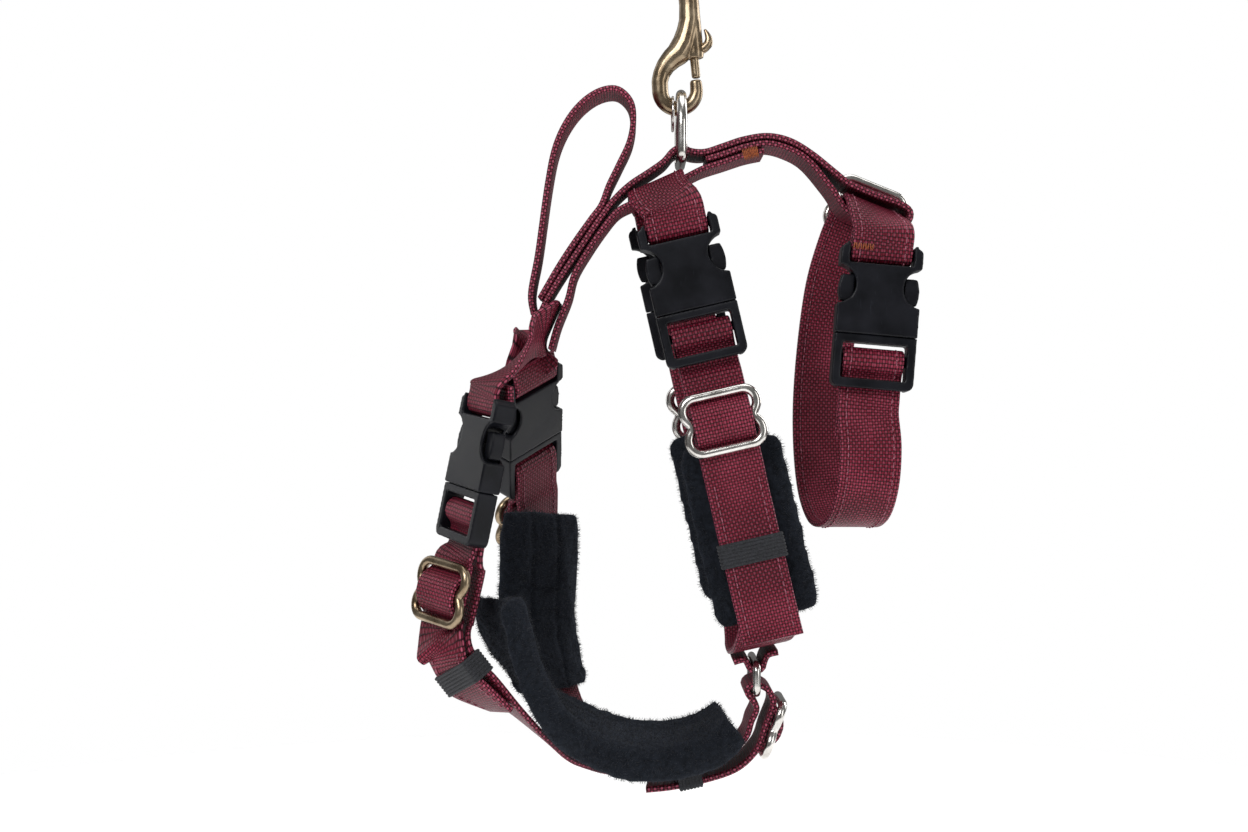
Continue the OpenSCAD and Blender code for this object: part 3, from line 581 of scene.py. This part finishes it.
def webbing_material():
    """Plain-woven nylon: a fine grid of yarn humps, with a painted highlight on the over-yarns, a painted
    satin sheen in broad patches and painted shade in the gaps, highlight and shade both bolder along the
    bound edges.
    """
    s = Shader("webbing")
    uv = s.node("ShaderNodeUVMap", uv_map="Weave").outputs[0]
    edge = s.node("ShaderNodeAttribute", attribute_name="side").outputs["Fac"]
    split = s.node("ShaderNodeSeparateXYZ", {0: uv})
    wobble = s.math("MULTIPLY", s.math("SUBTRACT", s.noise(uv, 0.3, 2), 0.5), 0.5)
    along = s.math("DIVIDE", s.math("ADD", split.outputs[0], wobble), 1.2)
    across = s.math("DIVIDE", split.outputs[1], 1.05)
    warp = s.math("ABSOLUTE", s.math("SINE", s.math("MULTIPLY", along, math.pi)))
    weft = s.math("ABSOLUTE", s.math("SINE", s.math("MULTIPLY", across, math.pi)))
    hump = s.math("MULTIPLY", s.math("POWER", warp, 0.6), s.math("POWER", weft, 0.6))
    row = s.math("MODULO", s.math("FLOOR", along), 2.0)
    column = s.math("MODULO", s.math("FLOOR", across), 2.0)
    over = s.math("ABSOLUTE", s.math("SUBTRACT", row, column))
    fine = s.node("ShaderNodeVectorMath", {0: uv, 1: (1.1, 5.0, 1)}, operation="MULTIPLY").outputs[0]
    yarn = s.noise(fine, 1.0, 3)
    # Broad patches: they vary the base tone, and they also add a painted satin sheen of the lit pink.
    tone_and_sheen_patch = s.noise(s.place(), 45.0, 3)
    base = s.mix(s.remap(tone_and_sheen_patch, 0.35, 0.68), rgb(96, 8, 30), rgb(128, 18, 44))
    # Painted highlight: the over-yarns, and more strongly the dots of the bound edges, get a share of the
    # lit pink.
    edge_highlight = s.math("MULTIPLY", edge, s.remap(over, 0, 1, 0.16, 0.62))
    share = s.math("ADD", s.remap(over, 0, 1, 0.0, 0.22), edge_highlight)
    # Painted satin sheen: the brighter patches take more of the lit pink.
    share = s.math("ADD", share, s.remap(tone_and_sheen_patch, 0.5, 0.72, 0.0, 0.16))
    # The lit pink is a painted highlight on the yarns.
    lit = s.mix(share, base, rgb(216, 104, 132))
    grain = s.mix(s.remap(yarn, 0.4, 0.75, 0.0, 0.4), lit, rgb(70, 10, 26))
    # Painted shade: the low gaps between the yarn humps go dark, darker still along the bound edges.
    gap_shade = s.math("ADD", s.remap(hump, 0.22, 0.74), s.math("MULTIPLY", edge, -0.18))
    color = s.mix(gap_shade, rgb(30, 2, 10), grain)
    height = s.math("ADD", s.math("MULTIPLY", hump, s.math("ADD", s.math("MULTIPLY", over, 0.25), 0.75)),
                    s.math("MULTIPLY", yarn, 0.3))
    normal = s.bump(height, 0.8, 0.0003)
    return s.set(color=color, rough=s.remap(yarn, 0.3, 0.8, 0.34, 0.52), normal=normal, sheen=0.03,
                 sheen_rough=0.4, sheen_tint=rgb(230, 150, 170), specular=0.2)


def thread_material(name, dark, light):
    s = Shader(name)
    twist = s.noise(s.place(), 2600.0, 2)
    return s.set(color=s.mix(s.remap(twist, 0.35, 0.65), dark, light), rough=0.6,
                 normal=s.bump(twist, 0.5, 0.0001), sheen=0.1)


def plastic_material():
    """Satin black acetal with a fine moulded grain and faint wear."""
    s = Shader("acetal")
    at = s.place()
    grain = s.noise(at, 5200.0, 2)
    cloud = s.noise(at, 90.0, 4)
    scuff = s.noise(s.node("ShaderNodeVectorMath", {0: at, 1: (1.0, 1.0, 0.12)},
                           operation="MULTIPLY").outputs[0], 1500.0, 3)
    color = s.mix(s.remap(cloud, 0.35, 0.7), rgb(13, 14, 18), rgb(25, 26, 32))
    color = s.mix(s.remap(scuff, 0.66, 0.8, 0.0, 0.3), color, rgb(58, 61, 70))
    return s.set(color=color, rough=s.remap(cloud, 0.3, 0.7, 0.3, 0.42), specular=0.2,
                 normal=s.bump(grain, 0.35, 0.00008))


def metal_material(name, dark, light, rough):
    """Polished plate, a little warm, with faint clouds and fine polishing lines."""
    s = Shader(name)
    at = s.place()
    cloud = s.noise(at, 160.0, 4, 0.6)
    fine = s.noise(at, 3200.0, 3)
    color = s.mix(s.remap(cloud, 0.32, 0.68), dark, light)
    return s.set(color=color, metal=1.0, rough=s.remap(cloud, 0.3, 0.7, rough, rough + 0.12),
                 normal=s.bump(fine, 0.03, 0.00003))


def fleece_material():
    s = Shader("fleece")
    at = s.place()
    tuft = s.noise(at, 520.0, 4, 0.65)
    cloud = s.noise(at, 70.0, 3)
    # Painted highlight and shade: the tuft noise, which also raises the bump, makes the tuft tops lighter
    # and the hollows between them darker.
    color = s.mix(s.remap(tuft, 0.3, 0.7), rgb(9, 11, 14), rgb(34, 38, 45))
    color = s.mix(s.remap(cloud, 0.35, 0.7, 0.0, 0.4), color, rgb(20, 23, 29))
    return s.set(color=color, rough=0.95, normal=s.bump(tuft, 0.9, 0.0007), sheen=0.18,
                 sheen_rough=0.6, sheen_tint=rgb(150, 160, 180), specular=0.1)


def fibre_material():
    s = Shader("fibre")
    vary = s.noise(s.place(), 900.0, 2)
    return s.set(color=s.mix(s.remap(vary, 0.3, 0.7), rgb(12, 14, 18), rgb(50, 54, 63)), rough=0.8,
                 sheen=0.1, specular=0.2)


def elastic_material():
    s = Shader("elastic")
    vary = s.noise(s.place(), 1900.0, 3)
    return s.set(color=s.mix(s.remap(vary, 0.35, 0.7), rgb(14, 15, 18), rgb(48, 50, 56)), rough=0.8,
                 normal=s.bump(vary, 0.5, 0.00015), sheen=0.08)


WEBBING = webbing_material()
THREAD = thread_material("thread", rgb(92, 22, 42), rgb(190, 112, 132))
TACK_THREAD = thread_material("tack_thread", rgb(110, 42, 14), rgb(178, 92, 40))
PLASTIC = plastic_material()
NICKEL = metal_material("nickel", rgb(200, 196, 190), rgb(240, 238, 234), 0.16)
BRONZE = metal_material("warm_nickel", rgb(128, 108, 84), rgb(182, 164, 138), 0.24)
FLEECE = fleece_material()
FIBRE = fibre_material()
ELASTIC = elastic_material()


# ---------------------------------------------------------------- webbing, thread and tacks
def straps():
    made = {name: webbing(name, route) for name, route in ROUTES.items()}
    sewn = {
        "girth_top_strap": (14, made["girth_top_strap"].length - 14),
        "girth_near_strap": (2, 62),
        "girth_far_strap": (2, 58),
        "chest_strap": (2, 33),
        "neck_far_strap": (66, 118),
        "belly_strap": (30, made["belly_strap"].length - 12),
    }
    for name, (start, end) in sewn.items():
        r = made[name]
        stitches(name.replace("_strap", "_stitches"), r, start, min(end, r.length - 1))
    under, belly = made["spine_under_strap"], made["belly_strap"]
    edge_tack("spine_tack", under, under.length - 8, -1)
    bar_tack("belly_tack", belly, belly.length - 20, length=2.4, width=7, centre=-7.4)


# ---------------------------------------------------------------- metal
def arc(cx, cy, r, a0, a1, n=8):
    angles = [math.radians(a0 + (a1 - a0) * k / n) for k in range(n + 1)]
    return [(cx + r * math.cos(a), cy + r * math.sin(a)) for a in angles]


def rounded(half_x, half_y, corner, n=8):
    """A rounded rectangle as a closed list of points, with points along its straight sides too."""
    path = []
    for sx, sy, a in ((1, 1, 0), (-1, 1, 90), (-1, -1, 180), (1, -1, 270)):
        path += arc(sx * (half_x - corner), sy * (half_y - corner), corner, a, a + 90, n)
    dense = []
    for i, p in enumerate(path):
        q = path[(i + 1) % len(path)]
        parts = max(1, int(math.dist(p, q)))
        dense += [(p[0] + (q[0] - p[0]) * k / parts, p[1] + (q[1] - p[1]) * k / parts) for k in range(parts)]
    return dense


def slider_wires(name, f, z, frame_y, bar_y, material, body):
    """A wire slider: a frame with a pinched waist at depth frame_y, and its middle bar at bar_y."""
    out = f.at(0, 1, 0) - f.at(0, 0, 0)
    outline = []
    for x, up in rounded(SLIDER_HALF_X, SLIDER_HALF_Z, SLIDER_CORNER):
        waist = 1 - WAIST_DEPTH * math.exp(-(up / WAIST_REACH) ** 2)
        outline.append(f.at(x * waist, frame_y, z + up))
    frame_wire = wire(name + "_frame", outline, BOLD_WIRE_R, out, body, material)
    bar = [f.at(x, bar_y, z) for x in np.linspace(-SLIDER_BAR_HALF, SLIDER_BAR_HALF, 9)]
    wire(name + "_bar", bar, SLIDER_BAR_R, out, body, material, closed=False)
    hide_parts(name)


def strap_slider(name, f, z, material, body):
    """A wire slider on its strap, and the webbing that humps over its bar."""
    front = SLIDE_FRONT_Y - PLY_T / 2 - GAP - BOLD_WIRE_R
    slider_wires(name, f, z, front, front + 0.3, material, body)
    over = front - BOLD_WIRE_R - PLY_T / 2 + 0.6
    rise = [(11, SLIDE_FRONT_Y + 0.5), (8.6, SLIDE_FRONT_Y - 0.3), (6.4, front + 0.6), (4.4, over + 1.1),
            (2, over + 0.1)]
    profile = rise + [(0, over)] + [(-d, y) for d, y in reversed(rise)]
    hump = [f.row(0, y, z + d) for d, y in profile]
    webbing(name + "_hump", hump, body=body, w=STRAP_W - 0.6, replace=False, waves=0)


def flat_slider(name, f, material):
    """A slider that lies flat, with its bar in the plane of its frame and webbing round the bar."""
    slider_wires(name, f, 0, 0, 0, material, "harness")
    bend = arc(0, 0, SLIDER_BAR_R + GAP + PLY_T / 2, 0, 180, 6)
    profile = [(-0.4, -16), (1.4, -13.4), (3.6, -10.6), (3.4, -5), *bend, (-3.4, -3.4), (-5, -7)]
    webbing(name + "_loop", [f.row(0, y, z) for y, z in profile], w=STRAP_W - 1, replace=False, waves=0)


def keeper(name, f, z, y0, y1, body):
    """A loop of ribbed elastic round the plies."""
    half_x, half_y = STRAP_W / 2 + GAP + 0.7, (y1 - y0) / 2 + PLY_T / 2 + GAP + 0.6
    outline = rounded(half_x, half_y, KEEPER_CORNER, 5)
    mid = (y0 + y1) / 2
    rings = KEEPER_RIBS * 8
    verts = []
    for side in (0, 1):
        for k in range(rings + 1):
            t = k / rings
            rib = RIB_DEPTH * abs(math.sin(math.pi * KEEPER_RIBS * t)) ** 0.7 - 0.15
            ends = 0.35 if k in (0, rings) else 0
            for x, y in outline:
                grow = rib - ends if side == 0 else ends - KEEPER_WALL
                n = math.hypot(x / half_x, y / half_y)
                verts.append(f.at(x * (1 + grow / half_x / n), mid + y * (1 + grow / half_y / n),
                                  z + KEEPER_LENGTH * (t - 0.5)))
    n = len(outline)
    outer, _ = ring_faces(rings + 1, n)
    inner = [tuple(i + (rings + 1) * n for i in reversed(q)) for q in outer]
    caps = []
    for k in (0, rings):
        for j in range(n):
            m = (j + 1) % n
            a, b = k * n + j, k * n + m
            quad = (a, b, b + (rings + 1) * n, a + (rings + 1) * n)
            caps.append(quad if k else quad[::-1])
    obj = new_piece(name + "_elastic", [list(v) for v in verts], outer + inner + caps, material=ELASTIC)
    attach(obj, body)
    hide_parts(name)


def metal_rings():
    half, bar_z, arc_z, corner = 14.6, -95, -83.6, 3
    path = arc(0, arc_z, half, 0, 180, 40) + arc(-half + corner, bar_z + corner, corner, 180, 270, 8)
    path += [(x, bar_z) for x in np.linspace(-half + corner + 1, half - corner - 1, 12)]
    path += arc(half - corner, bar_z + corner, corner, 270, 360, 8)
    d = wire("d_ring_wire", [(0, y, z) for y, z in path], D_RING_R, X, "back_ring", NICKEL)
    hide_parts("d_ring")
    tag = wire("tag_ring_wire", [(-3.2, y, z) for y, z in arc(0, -76.3, TAG_RING_R, 0, 354, 48)],
               TAG_WIRE_R, X, "tag", NICKEL)
    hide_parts("tag_ring")
    chest = wire("chest_ring_wire", [(28.5, y, -294.9 + z) for y, z in rounded(15.1, 5.5, 3.2)], WIRE_R, X,
                 "harness", NICKEL)
    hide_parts("chest_ring")


# ---------------------------------------------------------------- moulded and cast CAD nodes
def round_off(obj, voxel, rounds):
    """Rounds a piece's edges with modifiers, so that its own mesh stays as it is."""
    remesh = obj.modifiers.new("Round", "REMESH")
    remesh.mode = "VOXEL"
    remesh.voxel_size = voxel * MM
    remesh.use_smooth_shade = True
    relax = obj.modifiers.new("Relax", "SMOOTH")
    relax.factor = 0.5
    relax.iterations = rounds


def soften(node, voxel, rounds, material):
    """Rounds a CAD node's edges without moving it, and gives it its finish."""
    obj = NODES[node]
    round_off(obj, voxel, rounds)
    obj.data.materials.clear()
    obj.data.materials.append(material)


def casting(name, chains, body, material, node):
    """A cast piece in place of a CAD node. Its limbs are (x, z, radius) in the snap's own frame."""
    limbs = []
    across = SNAP.at(0, 1, 0) - SNAP.at(0, 0, 0)
    for k, chain in enumerate(chains):
        chain = np.array(chain, float)
        walked = np.concatenate([[0], np.cumsum(np.hypot(*np.diff(chain[:, :2], axis=0).T))])
        even = np.linspace(0, walked[-1], max(4, int(walked[-1] / 0.8)))
        x, z, radii = (np.interp(even, walked, chain[:, i]) for i in range(3))
        limbs.append(wire(f"{name}_{k}", [SNAP.at(a, 0, b) for a, b in zip(x, z)], list(radii), across,
                          body, material, closed=False))
    whole = join(limbs)
    whole.name = name
    round_off(whole, CAST_VOXEL, 6)
    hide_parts(node)


def snap():
    """The hook flows out of the shank, and the bolt closes it from above with a thumb horn."""
    hook = [(-7.4 + 7.1 * math.cos(math.radians(a)), -66.8 + 7.1 * math.sin(math.radians(a)),
             3.2 - 0.7 * (a - 180) / 180) for a in range(180, 361, 6)]
    body = [(0, -14, 3.5), (0, -16, 3.9), (0, -34, 3.95), (-0.4, -40, 4.2), (-1.5, -44, 4.4),
            (-3.2, -48.4, 4.8), (-5.9, -52.2, 4.8), (-8.6, -54, 4.3), (-11.3, -56.5, 3.75),
            (-13.2, -59.4, 3.4), (-14.3, -62.4, 3.25)]
    tip = [(-0.3, -66, 2.45), (-0.3, -63.9, 2.35), (-0.3, -63.3, 1.9)]
    housing = [(0.4, -18, 3.5), (0.4, -53.6, 3.5), (0.4, -55, 3.1)]
    collar = [(0, -17.6, 4.3), (0, -19.4, 4.3)]
    casting("snap_hook", [body + hook + tip, housing, collar], "snap", BRONZE, "snap_body")
    pin = [(0, -40, 1.75), (0, -61.8, 1.75), (0, -62.6, 1.4)]
    horn = [(1, -51.8, 1.5), (4, -51.4, 1.9), (6.1, -49.6, 1.8), (6.4, -47.4, 1.4), (5.8, -45.4, 0.95),
            (5.1, -43.8, 0.5)]
    casting("snap_thumb_bolt", [pin, horn], "bolt", BRONZE, "snap_bolt")


def hard_parts():
    for buckle in BUCKLES:
        for part in ("socket", "plug", "arm_left", "arm_right"):
            soften(f"{buckle}_{part}", MOULDED_VOXEL, 5, PLASTIC)
    soften("lead_eye", 0.3, 4, BRONZE)
    NODES["snap_spring"].data.materials.clear()
    NODES["snap_spring"].data.materials.append(NICKEL)


# ---------------------------------------------------------------- pads
def pad_form(name, route, outline):
    """A closed sleeve with rounded edges, a little smaller than its CAD solid, before it swells."""
    r = Ribbon(route, spacing=2.5)
    closed = [(Vector((*q, 0)), Vector()) for q in outline]
    closed = closed[-1:] + closed + closed[:2]
    section = smooth(closed, 3)[3:-3, 0, :2]
    middle = section.mean(0)
    rows = len(r.s)
    verts = []
    for i in range(rows):
        shrink = PAD_END_SHRINK[min(i, rows - 1 - i, 2)]
        for x, y in middle + (section - middle) * (PAD_FIT * shrink):
            verts.append(r.p[i] + r.across[i] * x + r.out[i] * y)
    n = len(section)
    faces, _ = ring_faces(rows, n)
    faces.append(list(range(n - 1, -1, -1)))
    faces.append([(rows - 1) * n + j for j in range(n)])
    return new_piece(name + "_fleece", verts, faces, material=FLEECE), r


def swell(obj, cap):
    """Lets the pad fill out under pressure, and caps how far any point moves, in millimetres."""
    bpy.context.view_layer.objects.active = obj
    remesh = obj.modifiers.new("Even", "REMESH")
    remesh.mode = "VOXEL"
    remesh.voxel_size = PAD_VOXEL * MM
    apply_modifier(obj, remesh)
    rest = positions(obj)
    cloth = obj.modifiers.new("Cloth", "CLOTH")
    cloth.settings.quality = 6
    cloth.settings.mass = 0.2
    cloth.settings.use_pressure = True
    cloth.settings.uniform_pressure_force = 4.0
    cloth.settings.tension_stiffness = 12
    cloth.settings.compression_stiffness = 12
    cloth.settings.bending_stiffness = 0.6
    cloth.settings.effector_weights.gravity = 0
    scene = bpy.context.scene
    for f in range(SWELL_FRAMES):
        scene.frame_set(f + 1)
    apply_modifier(obj, cloth)
    scene.frame_set(1)
    move = positions(obj) - rest
    far = np.linalg.norm(move, axis=1)
    move *= np.minimum(1, cap * MM / np.maximum(far, 1e-9))[:, None]
    set_positions(obj, rest + move)


def apply_modifier(obj, modifier):
    with bpy.context.temp_override(object=obj, active_object=obj, selected_objects=[obj]):
        bpy.ops.object.modifier_apply(modifier=modifier.name)


def positions(obj):
    co = np.zeros(len(obj.data.vertices) * 3)
    obj.data.vertices.foreach_get("co", co)
    return co.reshape(-1, 3)


def set_positions(obj, co):
    obj.data.vertices.foreach_set("co", co.ravel())
    obj.data.update()


def lumps(co, seed, count=40):
    """Smooth seeded noise from summed waves, about -1 to 1, for points in metres."""
    rng = np.random.default_rng(seed)
    total = np.zeros(len(co))
    for _ in range(count):
        k = rng.normal(size=3)
        k *= rng.uniform(120, 900) / np.linalg.norm(k)
        total += np.sin(co @ k + rng.uniform(0, TAU)) * rng.uniform(0.4, 1)
    return total / math.sqrt(count) * 0.9


def normals_of(obj):
    n = np.zeros(len(obj.data.vertices) * 3)
    obj.data.vertices.foreach_get("normal", n)
    return n.reshape(-1, 3)


def pile(name, obj, seed, strap):
    """Fine tapered fibres standing on a pad, leaning in swirls. None grow under the strap."""
    rng = np.random.default_rng(seed)
    mesh = obj.data
    mesh.calc_loop_triangles()
    tris = np.array([t.vertices[:] for t in mesh.loop_triangles])
    co, nm = positions(obj) / MM, normals_of(obj)
    a, b, c = co[tris[:, 0]], co[tris[:, 1]], co[tris[:, 2]]
    area = np.linalg.norm(np.cross(b - a, c - a), axis=1) / 2
    count = int(area.sum() * PILE_DENSITY)
    pick = rng.choice(len(tris), count, p=area / area.sum())
    u, v = rng.random(count), rng.random(count)
    flip = u + v > 1
    u[flip], v[flip] = 1 - u[flip], 1 - v[flip]
    w = 1 - u - v
    root = a[pick] * w[:, None] + b[pick] * u[:, None] + c[pick] * v[:, None]
    n = unit_rows(nm[tris[pick, 0]] * w[:, None] + nm[tris[pick, 1]] * u[:, None]
                  + nm[tris[pick, 2]] * v[:, None])
    if strap is not None:
        near = np.argmin(((root[:, None] - strap.p[None, ::2]) ** 2).sum(2), 1) * 2
        off = root - strap.p[near]
        grown = np.abs(np.sum(off * strap.across[near], 1)) > BARE_HALF_WIDTH
        grown |= np.abs(np.sum(off * strap.out[near], 1)) > BARE_DEPTH
        root, n, count = root[grown], n[grown], int(grown.sum())
    swirl = np.stack([lumps(root * MM, seed + k, 12) for k in range(3)], 1) * 0.9
    lean = unit_rows(n + swirl + rng.normal(size=(count, 3)) * 0.35)
    tall = PILE_LENGTH * rng.uniform(0.55, 1.15, count)[:, None]
    side = unit_rows(np.cross(n, rng.normal(size=(count, 3))))
    other = np.cross(n, side)
    ring = [side * math.cos(TAU * j / 3) + other * math.sin(TAU * j / 3) for j in range(3)]
    low = [root - n * 0.2 + q * FIBRE_R for q in ring]
    mid = [root + unit_rows(n * 0.7 + lean * 0.5) * tall * 0.5 + q * FIBRE_R * 0.75 for q in ring]
    tip = root + lean * tall + n * 0.12
    verts = np.stack([*low, *mid, tip], 1).reshape(-1, 3)
    one = [(0, 1, 4, 3), (1, 2, 5, 4), (2, 0, 3, 5), (3, 4, 6), (4, 5, 6), (5, 3, 6)]
    faces = [tuple(7 * i + j for j in f) for i in range(count) for f in one]
    fibres = new_piece(name + "_pile", verts, faces, material=FIBRE)
    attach(fibres, "harness")


def channels(obj, r, lines, cross):
    """Presses sewn channels into a pad, along it at lines and across it at cross, in millimetres."""
    co = positions(obj) / MM
    near = np.argmin(((co[:, None] - r.p[None, ::2]) ** 2).sum(2), 1) * 2
    off = co - r.p[near]
    x, s = np.sum(off * r.across[near], 1), r.s[near] + np.sum(off * r.along[near], 1)
    y = np.sum(off * r.out[near], 1)
    press = np.zeros(len(co))
    for line in lines:
        press = np.maximum(press, np.exp(-((x - line) / CHANNEL_REACH) ** 2))
    for at in cross:
        seam = np.exp(-((s - at) / CHANNEL_REACH) ** 2)
        press = np.maximum(press, seam * (np.abs(x) < CHANNEL_HALF_LENGTH))
    set_positions(obj, (co - (np.sign(y) * press * CHANNEL_DEPTH)[:, None] * r.out[near]) * MM)


def pads():
    for k, (name, (route, outline)) in enumerate(PADS.items()):
        girth = name.startswith("girth")
        obj, r = pad_form(name, route, outline)
        swell(obj, GIRTH_PAD_SWELL if girth else PAD_SWELL)
        sub = obj.modifiers.new("Fine", "SUBSURF")
        sub.levels = sub.render_levels = 1
        apply_modifier(obj, sub)
        co = positions(obj)
        set_positions(obj, co + normals_of(obj) * (lumps(co, 11 + k) * LUMP_HEIGHT * MM)[:, None])
        if name == "neck_far_pad":
            channels(obj, r, (-7, 6), (r.length * 0.42,))
        obj.data.polygons.foreach_set("use_smooth", [True] * len(obj.data.polygons))
        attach(obj, "harness")
        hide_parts(name)
        pile(name, obj, 31 + k, Ribbon(ROUTES[name.replace("_pad", "_strap")]) if girth else None)


# ---------------------------------------------------------------- room, light and camera
WHITE = (1, 1, 1, 1)
FLOOR_R = 750
FLOOR_DROP = 0.12  # metres below the CAD
FLOOR_GLOW = 0.42
WORLD_LIGHT = 0.16  # what the white world gives to every ray but the camera's
LIT_POINT = Vector((0, 0, -0.2))
LIGHTS = {  # place and size in metres, power in watts
    "key": ((-0.55, -0.95, 0.55), (0.7, 0.5), 9),
    "fill": ((0.9, -0.8, 0.0), (0.5, 0.9), 3),
    "top": ((0.1, 0.1, 0.9), (0.9, 0.9), 6),
    "rim_left": ((-0.8, 0.7, 0.1), (0.4, 0.9), 1.4),
    "rim_right": ((0.9, 0.6, 0.2), (0.4, 0.9), 5),
}


def area_light(name, place, size, power):
    data = bpy.data.lights.new(name, "AREA")
    data.shape = "RECTANGLE"
    data.size, data.size_y = size
    data.energy = power
    obj = bpy.data.objects.new(name, data)
    bpy.context.scene.collection.objects.link(obj)
    obj.location = place
    obj.rotation_euler = (LIT_POINT - Vector(place)).to_track_quat("-Z", "Y").to_euler()


def room():
    floor_z = (cad_box[0].z - FLOOR_DROP) / MM
    n = 64
    verts = [(FLOOR_R * math.cos(TAU * k / n), FLOOR_R * math.sin(TAU * k / n), floor_z) for k in range(n)]
    s = Shader("floor")
    s.set(color=(0.9, 0.9, 0.9, 1), rough=0.9)
    s.main.inputs["Emission Color"].default_value = WHITE
    s.main.inputs["Emission Strength"].default_value = FLOOR_GLOW
    floor = new_piece("floor", verts, [list(range(n))], material=s.material)
    world = bpy.data.worlds.new("studio")
    bpy.context.scene.world = world
    world.use_nodes = True
    tree = world.node_tree
    back = tree.nodes["Background"]
    path = tree.nodes.new("ShaderNodeLightPath")
    share = tree.nodes.new("ShaderNodeMapRange")
    tree.links.new(path.outputs["Is Camera Ray"], share.inputs[0])
    share.inputs[3].default_value = WORLD_LIGHT
    share.inputs[4].default_value = 1.0
    tree.links.new(share.outputs[0], back.inputs["Strength"])
    back.inputs["Color"].default_value = WHITE
    for name, (place, size, power) in LIGHTS.items():
        area_light(name, place, size, power)


def camera():
    data = bpy.data.cameras.new("camera")
    data.lens = 48
    data.sensor_width = 36
    data.clip_start = 0.01
    obj = bpy.data.objects.new("camera", data)
    bpy.context.scene.collection.objects.link(obj)
    obj.location = (-0.0222, -0.650, -0.1942)
    obj.rotation_euler = (math.pi / 2, 0, 0)
    bpy.context.scene.camera = obj
    bpy.context.scene.view_settings.view_transform = "Standard"


def sliders():
    strap_slider("girth_near_slider", GIRTH_NEAR, SLIDE_Z, NICKEL, "girth_near_slider")
    strap_slider("girth_far_slider", GIRTH_FAR, SLIDE_Z, NICKEL, "girth_far_slider")
    strap_slider("neck_near_slider", NECK_SLIDE, 0, BRONZE, "neck_near_slider")
    strap_slider("neck_far_slider", NECK_FAR, NECK_SLIDE_Z, BRONZE, "neck_far_slider")
    strap_slider("chest_slider", CHEST_SLIDE, 0, NICKEL, "harness")
    flat_slider("belly_slider", BELLY_SLIDE, NICKEL)


def keepers():
    keeper("girth_near_keeper", GIRTH_NEAR, KEEPER_Z, OUTER_Y, INNER_Y, "girth_near_keeper")
    keeper("girth_far_keeper", GIRTH_FAR, KEEPER_Z, OUTER_Y, INNER_Y, "girth_far_keeper")
    keeper("neck_near_keeper", NECK_KEEPER, 0, -KEPT_Y, KEPT_Y, "harness")
    keeper("chest_keeper", CHEST_KEEPER, 0, -KEPT_Y, KEPT_Y, "harness")


camera()
room()
straps()
hard_parts()
metal_rings()
snap()
sliders()
keepers()
pads()
